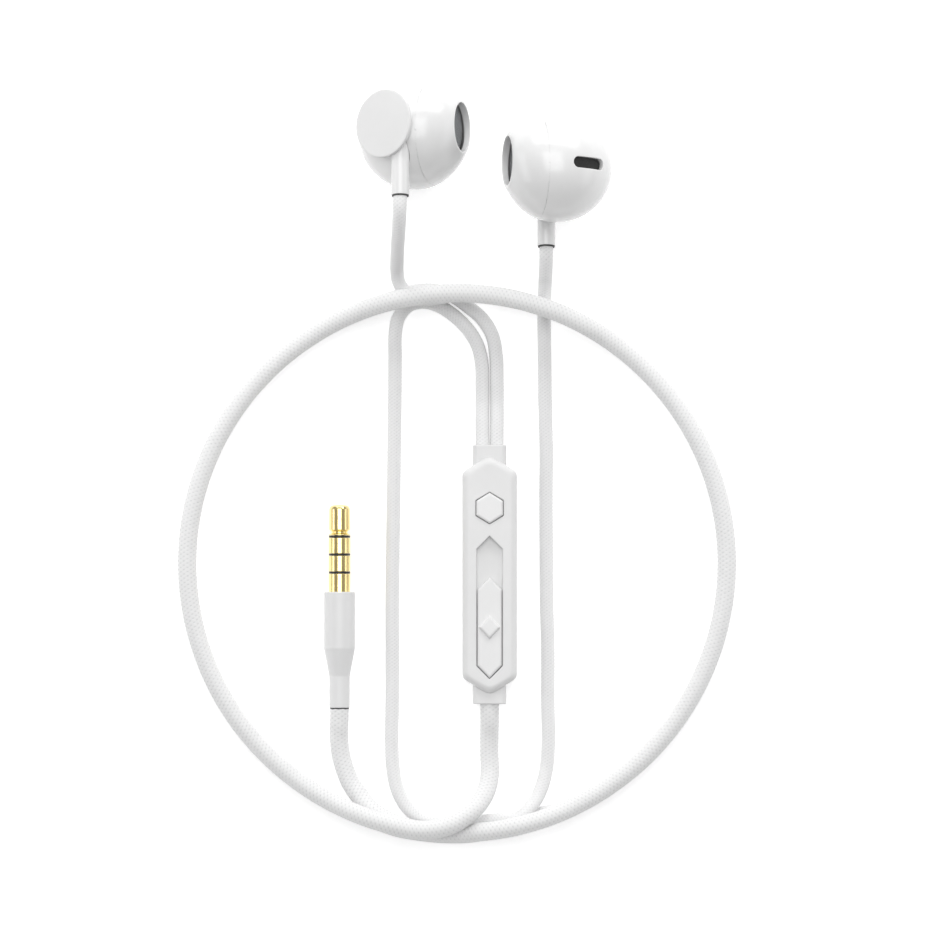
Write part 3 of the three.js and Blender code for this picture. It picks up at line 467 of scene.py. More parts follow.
def pointed(x, y, half_width, low, high, point):
    """A hexagon with vertical sides and a point at each end."""
    slope = math.hypot(point, half_width)
    side = np.abs(x)
    top = (point * side + half_width * (y - high)) / slope
    bottom = (point * side + half_width * (low - y)) / slope
    return np.maximum(side - half_width, np.maximum(top, bottom))


def chamfered(outline, z, low, high, chamfer, rounding=0.15):
    """A prism of the outline between two heights with its upper and lower edges chamfered."""
    depth = slab(z, low, high)
    body = smooth_max(outline, depth, 0.05)
    return smooth_max(body, (outline + depth + chamfer) * math.sqrt(0.5), rounding)


def surface(distance, low, high, step):
    """The closed surface where a distance field is zero, as (points, quads). One point per
    grid cell that the surface crosses, moved onto the surface along the field's slope."""
    step = step * COARSE
    low = np.array(low, float)
    counts = np.ceil((np.array(high) - low) / step).astype(int) + 1
    axes = [low[i] + step * np.arange(counts[i]) for i in range(3)]
    field = np.empty(counts, np.float32)
    for start in range(0, counts[0], 12):
        part = np.stack(np.meshgrid(axes[0][start:start + 12], axes[1], axes[2],
                                    indexing="ij"), -1).astype(np.float32)
        field[start:start + 12] = distance(part)
    inside = field < 0
    total = np.zeros(counts - 1, np.uint8)
    for corner in np.ndindex(2, 2, 2):
        window = tuple(slice(c, c + n - 1) for c, n in zip(corner, counts))
        total += inside[window]
    active = (total > 0) & (total < 8)
    cells = np.argwhere(active)
    number = np.full(active.shape, -1, np.int64)
    number[active] = np.arange(len(cells))
    crossing_sum = np.zeros((len(cells), 3))
    crossings = np.zeros(len(cells))
    for axis in range(3):
        unit = np.eye(3, dtype=int)[axis]
        for across in np.ndindex(2, 2):
            offset = np.insert(np.array(across), axis, 0)
            near, far = cells + offset, cells + offset + unit
            a, b = field[tuple(near.T)], field[tuple(far.T)]
            cut = (a < 0) != (b < 0)
            share = np.where(cut, a / np.where(cut, a - b, 1), 0)
            crossing_sum += cut[:, None] * (offset + share[:, None] * unit)
            crossings += cut
    points = low + step * (cells + crossing_sum / crossings[:, None])
    for _ in range(2):
        slope = np.empty_like(points)
        for axis in range(3):
            shift = np.eye(3)[axis] * SLOPE_STEP
            rise = distance(points + shift) - distance(points - shift)
            slope[:, axis] = rise / (2 * SLOPE_STEP)
        size = np.maximum(np.linalg.norm(slope, axis=1), 0.3)
        move = np.clip(distance(points) / size, -0.4 * step, 0.4 * step)
        points -= (move / size)[:, None] * slope
    quads = []
    for axis in range(3):
        u, v = np.eye(3, dtype=int)[(axis + 1) % 3], np.eye(3, dtype=int)[(axis + 2) % 3]
        ahead = [slice(None)] * 3
        behind = [slice(None)] * 3
        ahead[axis], behind[axis] = slice(1, None), slice(None, -1)
        changed = inside[tuple(ahead)] != inside[tuple(behind)]
        edges = np.argwhere(changed)
        corners = [number[tuple((edges - back).T)] for back in (0 * u, u, u + v, v)]
        made = np.stack(corners, 1)
        leaving = inside[tuple(edges.T)]
        made[~leaving] = made[~leaving][:, ::-1]
        quads.append(made)
    return points, np.concatenate(quads)


# ---------------------------------------------------------------- earbuds
def turn(axis, degrees):
    """A rotation matrix about one of the axes X, Y and Z, numbered 0 to 2."""
    c, s = math.cos(math.radians(degrees)), math.sin(math.radians(degrees))
    u, v = (axis + 1) % 3, (axis + 2) % 3
    made = np.eye(3)
    made[u, u], made[u, v], made[v, u], made[v, v] = c, -s, s, c
    return made


def aim(azimuth, elevation):
    """Turns +Z to an azimuth, from +Z towards +X, and an elevation towards +Y."""
    return turn(1, azimuth) @ turn(0, -elevation)


NOZZLE_TURN = aim(0, NOZZLE_ELEVATION)
DISC_TURN = aim(DISC_AZIMUTH, DISC_ELEVATION)
SLOT_TURN = aim(SLOT_AZIMUTH, SLOT_ELEVATION) @ turn(2, SLOT_TILT)
STEM_X = STEM_OFFSET * math.sin(math.radians(STEM_AZIMUTH))
STEM_Z = STEM_OFFSET * math.cos(math.radians(STEM_AZIMUTH))
Y_TO_Z = turn(0, 90)


def in_world(side, local):
    """Points of an earbud's own frame in the frame of the whole object."""
    centre, facing = BUDS[side]
    return np.asarray(local) @ (turn(0, -BUD_TILT) @ turn(1, facing)).T + np.array(centre)


def about_disc(points):
    """Points turned about +Y, set on the disc's axis."""
    points = points @ Y_TO_Z.T + np.array([DISC_SHIFT, 0, 0])
    return points @ DISC_TURN.T + np.array([0, DISC_RAISE, 0])


def bulb_field(q):
    """The whole hollow housing, in the nozzle's frame: +Z out of the nozzle."""
    leaned = q.copy()
    leaned[..., 1] -= NOZZLE_RAISE * (np.maximum(q[..., 2], 0) / NOZZLE_PLANE) ** 2
    body = smooth_max(ellipsoid(leaned, BULB_RADIUS, BULB_REAR, BULB_FRONT),
                      q[..., 2] - NOZZLE_PLANE, 0.14)
    local = q @ NOZZLE_TURN.T.astype(np.float32)
    disc = (local - np.array([0, DISC_RAISE, 0], np.float32)) @ DISC_TURN.astype(np.float32)
    around = np.hypot(disc[..., 0] - DISC_SHIFT, disc[..., 1])
    out = disc[..., 2]
    barrel = np.maximum(around - BARREL_RADIUS, slab(out, BARREL_BASE, BARREL_TOP))
    body = smooth_min(body, barrel, 0.5)
    body = carve(body, np.maximum(around - DISC_RADIUS - 1, BARREL_TOP - out), 0.15)
    body = carve(body, ellipsoid(leaned, BULB_RADIUS - SHELL_WALL, BULB_REAR - SHELL_WALL,
                                 BULB_FRONT - SHELL_WALL), 0.05)
    body = carve(body, np.maximum(around - BARREL_BORE, 2 - out), 0.1)
    mouth = np.hypot(q[..., 0], q[..., 1] - NOZZLE_RAISE) - NOZZLE_RADIUS
    body = carve(body, np.maximum(mouth, MESH_BACK - 1 - q[..., 2]), 0.1)
    stem = np.hypot(local[..., 0] - STEM_X, local[..., 2] - STEM_Z) - STEM_RADIUS - 0.04
    body = carve(body, np.maximum(stem, local[..., 1] - STEM_TOP - GAP), 0.06)
    slot = local @ SLOT_TURN.astype(np.float32)
    hole = rounded_box(slot[..., 0], slot[..., 1], SLOT_LENGTH / 2, SLOT_WIDTH / 2, SLOT_WIDTH / 2)
    return carve(body, np.maximum(hole, 5 - slot[..., 2]), 0.12)


def front_field(q):
    return smooth_max(bulb_field(q), SEAM_PLANE + BUD_SEAM_HALF_GAP - q[..., 2], 0.01)


def rear_field(q):
    return smooth_max(bulb_field(q), q[..., 2] - SEAM_PLANE + BUD_SEAM_HALF_GAP, 0.01)


def crisp_seam(points, plane):
    """Sets the points beside the seam on its outer edge, so that the halves meet closely."""
    centre = NOZZLE_RAISE * (plane / NOZZLE_PLANE) ** 2
    radius = BULB_RADIUS * math.sqrt(1 - (plane / BULB_FRONT) ** 2)
    reach = 0.07
    x, y = points[:, 0], points[:, 1] - centre
    around = np.hypot(x, y)
    edge = (np.abs(points[:, 2] - plane) < reach) & (np.abs(around - radius) < reach)
    grown = radius / around[edge]
    points[edge] = np.stack([x[edge] * grown, centre + y[edge] * grown,
                             np.full(int(edge.sum()), plane)], 1)


def directions(line):
    along = np.gradient(line, axis=0)
    return along / np.linalg.norm(along, axis=1)[:, None]


def distances(line):
    """How far each point is from the first one, along the line."""
    return np.concatenate([[0], np.cumsum(np.linalg.norm(np.diff(line, axis=0), axis=1))])


def wire(route, radius):
    """A thin closed tube along a list of points."""
    sides = WIRE_SIDES
    route = np.asarray(route, float)
    along = directions(route)
    beside = np.cross(along, [0.0, 0.0, 1.0])
    beside /= np.linalg.norm(beside, axis=1)[:, None]
    above = np.cross(beside, along)
    angles = np.arange(sides) * 2 * math.pi / sides
    points = (route[:, None] + radius * (np.cos(angles)[None, :, None] * beside[:, None]
                                         + np.sin(angles)[None, :, None] * above[:, None]))
    faces = []
    for row in range(len(route) - 1):
        for side in range(sides):
            after = (side + 1) % sides
            faces.append((row * sides + side, (row + 1) * sides + side,
                          (row + 1) * sides + after, row * sides + after))
    faces.append(tuple(range(sides)))
    faces.append(tuple(range(len(route) * sides - 1, (len(route) - 1) * sides - 1, -1)))
    return points.reshape(-1, 3), faces


def woven(reach, pitch, radius, height):
    """Two crossing sets of wires in the XY plane. reach(offset) is the half length of the wire
    at that offset from the middle, for each set, and height lifts a point (x, y)."""
    parts = []
    for crosswise in (False, True):
        count = int(reach(0.0, not crosswise) / pitch)
        for index in range(-count, count + 1):
            offset = index * pitch
            half = reach(offset, crosswise)
            if half < 2 * pitch:
                continue
            along = np.linspace(-half, half, 2 * int(2 * half / pitch) + 1)
            weave = np.cos(math.pi * (along / pitch + index + crosswise)) * radius * 0.9
            across = np.full_like(along, offset)
            x, y = (across, along) if crosswise else (along, across)
            parts.append(wire(np.stack([x, y, weave + height(x, y)], 1), radius))
    return joined(*parts)


def make_nozzle_mesh(side):
    """A disc of woven steel wire in a thin rim."""
    radius, middle, pitch = MESH_RADIUS - 0.05, (MESH_BACK + MESH_FRONT) / 2, 0.3 * COARSE
    points, faces = woven(lambda offset, _: math.sqrt(max(radius ** 2 - offset ** 2, 0)),
                          pitch, 0.06, lambda x, y: 0 * x)
    inside = MESH_RADIUS - 0.22
    rim = lathe([(inside, -0.12, 0.03), (MESH_RADIUS, -0.12, 0.03), (MESH_RADIUS, 0.12, 0.03),
                 (inside, 0.12, 0.03)], 64, closed=True)
    rim = (rim[0] @ Y_TO_Z.T, rim[1])
    points, faces = joined((points, faces), rim)
    points = (points + np.array([0, NOZZLE_RAISE, middle])) @ NOZZLE_TURN.T
    mesh_object(f"{side}_nozzle_grille", in_world(side, points), faces, "steel_mesh",
                nodes=[f"{side}_nozzle_mesh"])


def make_vent_gauze(side):
    """Black woven gauze that fills the slot, just below the shell's surface."""
    radius = VENT_RADIUS - VENT_THICKNESS / 2
    end = SLOT_WIDTH / 2 - 0.1
    straight = SLOT_LENGTH / 2 - SLOT_WIDTH / 2

    def reach(offset, crosswise):
        if crosswise:
            return math.sqrt(max(end ** 2 - max(abs(offset) - straight, 0) ** 2, 0))
        return straight + math.sqrt(max(end ** 2 - offset ** 2, 0))

    points, faces = woven(reach, 0.15 * COARSE, 0.07,
                          lambda x, y: np.sqrt(radius ** 2 - x ** 2 - y ** 2))
    mesh_object(f"{side}_vent_gauze", in_world(side, points @ SLOT_TURN.T), faces, "black_gauze",
                nodes=[f"{side}_vent_mesh"])


def make_stem(side):
    shift = np.array([STEM_X, 0, STEM_Z])
    step = STEM_END + STEM_STEP
    points, faces = lathe([
        (STEM_BORE, STEM_TOP), (STEM_BORE, step, 0.1),
        (STEM_MOUTH, step, 0.1), (STEM_MOUTH, STEM_END, 0.06),
        (STEM_RADIUS, STEM_END, 0.09), (STEM_RADIUS, STEM_TOP, 0.1),
    ][::-1], 64, closed=True)
    faces = [face[::-1] for face in faces]
    mesh_object(f"{side}_stem_tube", in_world(side, points + shift), faces, "gloss_white",
                nodes=[f"{side}_stem"])
    # A dark ring out of the stem's end, as painted shade for the shadow inside its open end.
    lip, plug = STEM_MOUTH + PAINTED_SHADE_RING_LIP, STEM_MOUTH - 0.02
    low, top = STEM_END - PAINTED_SHADE_RING_PROUD, step - 0.02
    points, faces = lathe([
        (PAINTED_SHADE_RING_BORE, low, 0.05), (lip, low, 0.08), (lip, STEM_END - 0.01),
        (plug, STEM_END - 0.01), (plug, top), (PAINTED_SHADE_RING_BORE, top),
    ], 48, closed=True)
    mesh_object(f"{side}_stem_painted_shade_ring", in_world(side, points + shift), faces, "dark_rubber",
                nodes=[f"{side}_stem_bush"])


def make_disc(side):
    back, spigot = DISC_FRONT - DISC_THICKNESS, BARREL_BORE - GAP
    hollow = spigot - SPIGOT_WALL
    crown = 0.06  # the face is very slightly domed
    points, faces = lathe([
        (0, back), (hollow, back, 0.05), (hollow, back - SPIGOT_LENGTH, 0.05),
        (spigot, back - SPIGOT_LENGTH, 0.05), (spigot, back, 0.05),
        (DISC_RADIUS - 0.12, back, 0.12),
        (DISC_RADIUS, back + 0.2, 0.15), (DISC_RADIUS, DISC_FRONT - 0.05, 0.16),
        (DISC_RADIUS - 0.3, DISC_FRONT, 0.3), (DISC_RADIUS * 0.6, DISC_FRONT + crown * 0.7, 4),
        (0, DISC_FRONT + crown),
    ], 128)
    mesh_object(f"{side}_disc", in_world(side, about_disc(points)), faces, "matte_white",
                nodes=[f"{side}_disc_cap"])


def make_buds():
    low, high = (-9.9, -9.2, -9.7), (9.2, 10.0, 8.2)
    halves = {"front": surface(front_field, (low[0], low[1], SEAM_PLANE - 0.3), high, 0.1),
              "rear": surface(rear_field, low, (high[0], high[1], SEAM_PLANE + 0.3), 0.1)}
    for name, sign in (("front", 1), ("rear", -1)):
        crisp_seam(halves[name][0], SEAM_PLANE + sign * BUD_SEAM_HALF_GAP)
    for side in BUDS:
        for name, (points, faces) in halves.items():
            local = points @ NOZZLE_TURN.T
            mesh_object(f"{side}_{name}_housing", in_world(side, local), faces, "gloss_white",
                        nodes=[f"{side}_{name}_shell"], creased=True)
        make_disc(side)
        make_stem(side)
        make_nozzle_mesh(side)
        make_vent_gauze(side)


# ---------------------------------------------------------------- remote
def remote_outline(x, y):
    """The remote's outline: straight sides and gabled ends with rounded ridges."""
    across = np.sqrt(x ** 2 + RIDGE_ROUNDING ** 2)
    slope = across * math.sin(REMOTE_SLOPE) + (np.abs(y) - REMOTE_APEX) * math.cos(REMOTE_SLOPE)
    return smooth_max(np.abs(x) - REMOTE_HALF_WIDTH, slope, 0.6)


def remote_field(p):
    """Both hollow halves of the remote together, with the openings for the necks."""
    x, y, z = np.moveaxis(p, -1, 0)
    outline = remote_outline(x, y)
    body = chamfered(outline, z, 0, REMOTE_THICKNESS, REMOTE_CHAMFER, 0.3)
    cavity = np.maximum(outline + REMOTE_WALL,
                        slab(z, REMOTE_WALL, REMOTE_THICKNESS - REMOTE_WALL))
    body = carve(body, cavity, 0.05)
    neck = rounded_box(x, z - CABLE_HEIGHT, NECK_HALF_WIDTH + 0.05, NECK_HALF_HEIGHT + 0.05,
                       NECK_ROUNDING)
    return carve(body, neck, 0.1)


def front_shell_field(p):
    x, y, z = np.moveaxis(p, -1, 0)
    floor_top = REMOTE_THICKNESS - CHANNEL_DEPTH
    tray = np.maximum(pointed(x, y, CHANNEL_HALF_WIDTH + TRAY_RIM, CHANNEL_BOTTOM - 0.4,
                              CHANNEL_TOP + TRAY_RIM, CHANNEL_POINT),
                      slab(z, floor_top - TRAY_THICKNESS, REMOTE_THICKNESS - REMOTE_WALL + 0.3))
    body = smooth_min(remote_field(p), tray, 0.05)
    channel = pointed(x, y, CHANNEL_HALF_WIDTH, CHANNEL_BOTTOM, CHANNEL_TOP, CHANNEL_POINT)
    body = carve(body, np.maximum(channel, floor_top - z), 0.1)
    slit_length = SLIDER_TRAVEL + LEG_LENGTH + 2 * GAP
    slit_middle = GRIP_Y + SLIDER_TRAVEL / 2
    slit = rounded_box(x, y - slit_middle, SLIT_WIDTH / 2, slit_length / 2, 0.2)
    body = carve(body, np.maximum(slit, floor_top - 2 - z), 0.06)
    hole = pointed(x, y - BUTTON_Y, BUTTON_HALF_WIDTH + 0.1, -BUTTON_HALF_HEIGHT - 0.1,
                   BUTTON_HALF_HEIGHT + 0.1, BUTTON_POINT)
    body = carve(body, np.maximum(hole, 3 - z), 0.1)
    return smooth_max(body, REMOTE_SEAM + SEAM_HALF_GAP - z, 0.08)


def back_shell_field(p):
    port = np.hypot(p[..., 0], p[..., 1] - PORT_Y) - PORT_RADIUS
    body = carve(remote_field(p), np.maximum(port, p[..., 2] - 2), 0.1)
    return smooth_max(body, p[..., 2] - REMOTE_SEAM + SEAM_HALF_GAP, 0.08)


def button_field(p):
    x, y, z = p[..., 0], p[..., 1] - BUTTON_Y, p[..., 2]
    flange_top = REMOTE_THICKNESS - REMOTE_WALL - GAP
    crown = chamfered(pointed(x, y, BUTTON_HALF_WIDTH, -BUTTON_HALF_HEIGHT, BUTTON_HALF_HEIGHT,
                              BUTTON_POINT), z, flange_top - FLANGE_THICKNESS,
                      REMOTE_THICKNESS + BUTTON_PROUD, 0.2, 0.12)
    half_height = BUTTON_HALF_HEIGHT + FLANGE_REACH
    flange = np.maximum(pointed(x, y, BUTTON_HALF_WIDTH + FLANGE_REACH, -half_height, half_height,
                                BUTTON_POINT), slab(z, flange_top - FLANGE_THICKNESS, flange_top))
    return np.minimum(crown, flange)


def slider_field(p):
    x, y, z = np.moveaxis(p, -1, 0)
    seat = REMOTE_THICKNESS - CHANNEL_DEPTH + 0.1
    top = REMOTE_THICKNESS + SLIDER_PROUD
    plate = chamfered(pointed(x, y, CHANNEL_HALF_WIDTH - GAP, CHANNEL_BOTTOM + GAP, SLIDER_TOP,
                              CHANNEL_POINT - GAP / 2), z, seat, top, 0.18, 0.12)
    slope = math.hypot(GRIP_HALF_WIDTH, GRIP_HALF_HEIGHT)
    diamond = (np.abs(x) * GRIP_HALF_HEIGHT + np.abs(y - GRIP_Y) * GRIP_HALF_WIDTH
               - GRIP_HALF_WIDTH * GRIP_HALF_HEIGHT) / slope
    grip = chamfered(diamond, z, top - 0.5, top + 0.5, 0.22, 0.12)
    leg_top = seat + 0.3
    leg = np.maximum(rounded_box(x, y - GRIP_Y, LEG_WIDTH / 2, LEG_LENGTH / 2, 0.1),
                     slab(z, LEG_BOTTOM, leg_top))
    return np.minimum(smooth_min(plate, grip, 0.08), leg)


def neck_part(p, half_width, half_height, low, high):
    section = rounded_box(p[..., 0], p[..., 2] - CABLE_HEIGHT, half_width, half_height,
                          min(NECK_ROUNDING, half_height - 0.1))
    return smooth_max(section, slab(p[..., 1], low, high), 0.2)


def hole_along_y(p, x, radius, low, high):
    around = np.hypot(p[..., 0] - x, p[..., 2] - CABLE_HEIGHT) - radius
    return np.maximum(around, slab(p[..., 1], low, high))


def top_gland_field(p):
    body = np.minimum(neck_part(p, NECK_HALF_WIDTH, NECK_HALF_HEIGHT, 15.2, NECK_TOP),
                      neck_part(p, 3.2, 1.85, 14.6, 15.3))
    for x in (-EAR_WIRE_SPACING / 2, EAR_WIRE_SPACING / 2):
        hole = hole_along_y(p, x, EAR_RADIUS + NECK_BORE_GAP, NECK_TOP - NECK_BORE_DEPTH, 25)
        body = carve(body, hole, 0.12)
    return body


def bottom_gland_field(p):
    body = np.minimum(neck_part(p, NECK_HALF_WIDTH, NECK_HALF_HEIGHT, NECK_BOTTOM, -17.4),
                      neck_part(p, NECK_HALF_WIDTH, 1.0, -17.5, -16.9))
    hole = hole_along_y(p, 0, MAIN_RADIUS + NECK_BORE_GAP, -25, NECK_BOTTOM + NECK_BORE_DEPTH)
    return carve(body, hole, 0.12)


def make_remote():
    half, end, top = REMOTE_HALF_WIDTH + 0.3, REMOTE_APEX + 0.2, REMOTE_THICKNESS + 0.3
    pieces = [
        ("remote_upper_case", front_shell_field, (-half, -end, REMOTE_SEAM - 0.3), (half, end, top),
         0.1, "satin_white", "root", "remote_front_shell"),
        ("remote_lower_case", back_shell_field, (-half, -end, -0.3), (half, end, REMOTE_SEAM + 0.3),
         0.1, "satin_white", "root", "remote_back_shell"),
        ("hex_button", button_field, (-3.0, 7.4, 4.0), (3.0, 14.2, 6.5),
         0.06, "button_white", "answer_button", "answer_button"),
        ("slider_plate", slider_field, (-2.4, -17.0, 3.7), (2.4, 0.0, 6.9),
         0.07, "button_white", "volume_slider", "volume_slider"),
        ("top_neck", top_gland_field, (-3.5, 14.3, 0.9), (3.5, 21.3, 5.1),
         0.08, "satin_white", "root", "remote_top_gland"),
        ("bottom_neck", bottom_gland_field, (-3.0, -21.1, 0.9), (3.0, -16.6, 5.1),
         0.08, "satin_white", "root", "remote_bottom_gland"),
    ]
    for name, field, low, high, step, slot, body, node in pieces:
        points, faces = surface(field, low, high, step)
        mesh_object(name, points, faces, slot, body, [node])


# ---------------------------------------------------------------- plug
def make_plug():
    """The turned pieces of the plug, each about the plug's own axis. Returns the pieces, with
    the plug's core and crimp from the CAD part."""
    half, edge, seam = INSULATOR_WIDTH / 2, 0.05, 0.03
    radius = PIN_RADIUS
    first, second, third = POLE_GAPS
    made = []

    def turned(name, outline, slot, node, closed=True):
        points, faces = lathe(outline, closed=closed)
        piece = mesh_object(name, points + np.array(PLUG_CENTRE), faces, slot, nodes=[node])
        weighted_normals(piece.data)
        made.append(piece)

    def pole(name, low, high, node):
        turned(name, [(PIN_BORE, low), (radius, low, edge), (radius, high, edge), (PIN_BORE, high)],
               "gold", node)

    pole("pole_sleeve", -3.0, first - half - seam, "plug_sleeve")
    pole("pole_ring_2", first + half + seam, second - half - seam, "plug_ring_2")
    pole("pole_ring_1", second + half + seam, third - half - seam, "plug_ring_1")
    for index, middle in enumerate(POLE_GAPS):
        inset = radius - 0.02
        turned(f"pole_insulator_{3 - index}",
               [(PIN_BORE, middle - half), (inset, middle - half, 0.04),
                (inset, middle + half, 0.04), (PIN_BORE, middle + half)],
               "black_plastic", f"plug_insulator_{3 - index}")
    base = third + half + seam
    body, waist = radius - 0.05, 1.3
    turned("pole_tip", [
        (0, base + 0.6), (PIN_BORE, base + 0.6), (PIN_BORE, base), (radius, base, edge),
        (body, base + 0.15, 0.1), (waist, base + 0.4, 0.1), (waist, base + 0.6, 0.15),
        (body, base + 0.9, 0.15), (body, PIN_LENGTH - 0.65, 0.5), (1.5, PIN_LENGTH - 0.2, 0.4),
        (1.05, PIN_LENGTH, 0.25), (0, PIN_LENGTH),
    ], "gold", "plug_tip", closed=False)
    mouth, inner = radius + 0.04, TAIL_BORE - 0.02
    turned("plug_sleeve_cover", [
        (TAIL_BORE, HOUSING_END, 0.05), (TAIL_RADIUS, HOUSING_END, 0.08),
        (TAIL_RADIUS, HOUSING_TAPER_END, 1.2), (HOUSING_RADIUS, HOUSING_TAPER_START, 1.5),
        (HOUSING_RADIUS, 0, 0.14), (mouth, 0, 0.08), (mouth, -HOUSING_MOUTH_DEPTH),
        (HOUSING_BORE, -HOUSING_MOUTH_DEPTH), (HOUSING_BORE, HOUSING_TAPER_START),
        (TAIL_BORE, HOUSING_TAPER_END),
    ], "satin_white", "plug_housing")
    low, high = HOUSING_END - 0.26, HOUSING_END + 0.8
    turned("tail_seal", [
        (TAIL_SEAL_BORE, low, 0.05), (TAIL_SEAL_RADIUS, low, 0.1),
        (TAIL_SEAL_RADIUS, HOUSING_END - 0.03), (inner, HOUSING_END + 0.05), (inner, high),
        (TAIL_SEAL_BORE, high),
    ], "dark_rubber", "plug_grommet")
    made.extend(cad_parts[name] for name in ("plug_core", "plug_crimp"))
    return made


# ---------------------------------------------------------------- cords
def on_ring(degrees, z, radius=RING_RADIUS):
    """A point above the ring, clockwise from +Y about its centre."""
    angle = math.radians(degrees)
    return (RING_CENTRE[0] + radius * math.sin(angle), RING_CENTRE[1] + radius * math.cos(angle), z)


def ring_arc(first, last, count, z):
    return above_ring(*((first + (last - first) * i / (count - 1), z) for i in range(count)))


def above_ring(*places):
    """Points above the ring, each with the values that on_ring takes."""
    return [on_ring(*place) for place in places]


def lying(*places):
    """Points of an ear wire that lies on the table."""
    return [(x, y, FLOOR_WIRE) for x, y in places]


MAIN_ROUTE = [
    (0, NECK_BOTTOM + 1.6, CABLE_HEIGHT), (0, NECK_BOTTOM - 0.3, CABLE_HEIGHT), (0, -23.4, 2.7),
    (-0.05, -26.0, 1.9), (-0.05, -29.0, 1.55), (0.05, -31.5, 1.75), (-0.25, -33.9, 2.6),
    (-1.35, -36.3, 4.2), (-3.3, -38.4, 5.85), (-6.2, -40.2, 6.85),
    *above_ring((185.5, 6.95, 43.1), (190, 6.9), (196, 6.8), (202, 6.1), (209, 4.8), (217, 3.95)),
    *ring_arc(226, 330, 12, RING_HEIGHT),
    *above_ring((337, 4.5), (343, 5.7), (349, 6.85), (355, 6.9)),
    *ring_arc(363, 380, 3, 6.5),
    *above_ring((387, 5.9), (394, 4.6), (402, 3.9)),
    *ring_arc(411, 507, 11, RING_HEIGHT),
    *above_ring((514, 4.4), (520, 5.5), (526.5, 6.3), (532, 5.8), (538, 4.45), (544, 3.75),
                (550, 3.7, 43.45), (555, 3.6, 43.0), (559, 3.2, 42.2), (563, 2.2, 40.6)),
    (-22.6, -33.2, 1.6), (-23.9, -29.4, 1.55), (-24.3, -26.2, 1.9), (-24.25, -23.9, 2.35),
    (PLUG_CENTRE[0], PLUG_CENTRE[1] + HOUSING_END - 0.3, PLUG_CENTRE[2]),
]
RIGHT_ROUTE = [
    (9.13, 52.7, 5.5), (9.12, 51.2, 5.5), (9.05, 49.1, 4.2), (8.95, 47.0, 2.2),
    (8.87, 44.7, 1.25),
    *lying((8.8, 41.0), (8.9, 34.0), (8.95, 28.2), (9.15, 20.2), (9.1, 12.1), (9.15, 4.0),
           (9.2, -4.0), (9.4, -12.1), (9.4, -20.2), (9.5, -27.0)),
    (9.1, -31.6, 1.25), (7.9, -35.4, 2.1), (5.6, -38.5, 3.4), (2.8, -40.5, 3.4),
    *above_ring((174.0, 2.6, 43.9), (178.5, 1.4, 44.15), (183, FLOOR_WIRE, 44.2),
                (188, FLOOR_WIRE, 44.2), (193, FLOOR_WIRE, 44.2), (200, FLOOR_WIRE, 43.8)),
    *ring_arc(208, 336, 15, FLOOR_WIRE),
    *above_ring((342, 1.2, 43.7), (347, 1.6, 44.1), (351.5, 2.1, 44.4), (355.5, 2.05, 44.1),
                (359, 1.4, 43.1), (362.5, FLOOR_WIRE, 41.4)),
    *lying((-1.15, 41.3), (0.45, 38.6), (1.05, 35.4), (1.17, 31.5)),
    (1.2, 28.0, 1.3), (1.18, 24.6, 2.4), (EAR_WIRE_SPACING / 2, NECK_TOP + 0.3, CABLE_HEIGHT),
    (EAR_WIRE_SPACING / 2, NECK_TOP - 1.8, CABLE_HEIGHT),
]
LEFT_ROUTE = [
    (-14.36, 60.75, 17.7), (-14.42, 59.0, 17.75), (-14.52, 56.9, 16.8), (-14.66, 54.8, 14.6),
    (-14.8, 52.8, 11.8), (-14.9, 50.9, 8.9), (-14.93, 49.0, 6.4), (-14.6, 47.1, 4.9),
    (-13.4, 45.5, 4.35), (-11.4, 44.55, 4.25),
    *above_ring((-4, 4.15, 42.85), (0, 3.85, 43.3), (5, 3.65), (11, 3.6), (18, 3.6), (25, 2.6),
                (31, 1.5)),
    *ring_arc(38, 148, 13, FLOOR_WIRE),
    *above_ring((156, FLOOR_WIRE, 43.1), (163, FLOOR_WIRE, 42.5), (170, FLOOR_WIRE, 42.0),
                (177, FLOOR_WIRE, 41.85), (183, FLOOR_WIRE, 41.8), (187.5, FLOOR_WIRE, 41.6)),
    *lying((-13.1, -37.7), (-14.9, -34.6), (-15.6, -31.0), (-15.8, -26.5), (-15.7, -20.2),
           (-15.7, -12.1), (-15.7, -4.0), (-15.6, 4.0), (-15.5, 12.1), (-15.4, 20.2),
           (-15.3, 28.2), (-15.25, 34.5), (-15.2, 39.2), (-14.6, 41.7), (-13.0, 43.5),
           (-10.9, 44.05), (-8.6, 43.6), (-6.2, 42.2), (-3.9, 40.1), (-2.1, 37.4), (-1.3, 34.4),
           (-1.17, 31.0)),
    (-1.17, 28.0, 1.3), (-1.17, 24.6, 2.4), (-EAR_WIRE_SPACING / 2, NECK_TOP + 0.3, CABLE_HEIGHT),
    (-EAR_WIRE_SPACING / 2, NECK_TOP - 1.8, CABLE_HEIGHT),
]


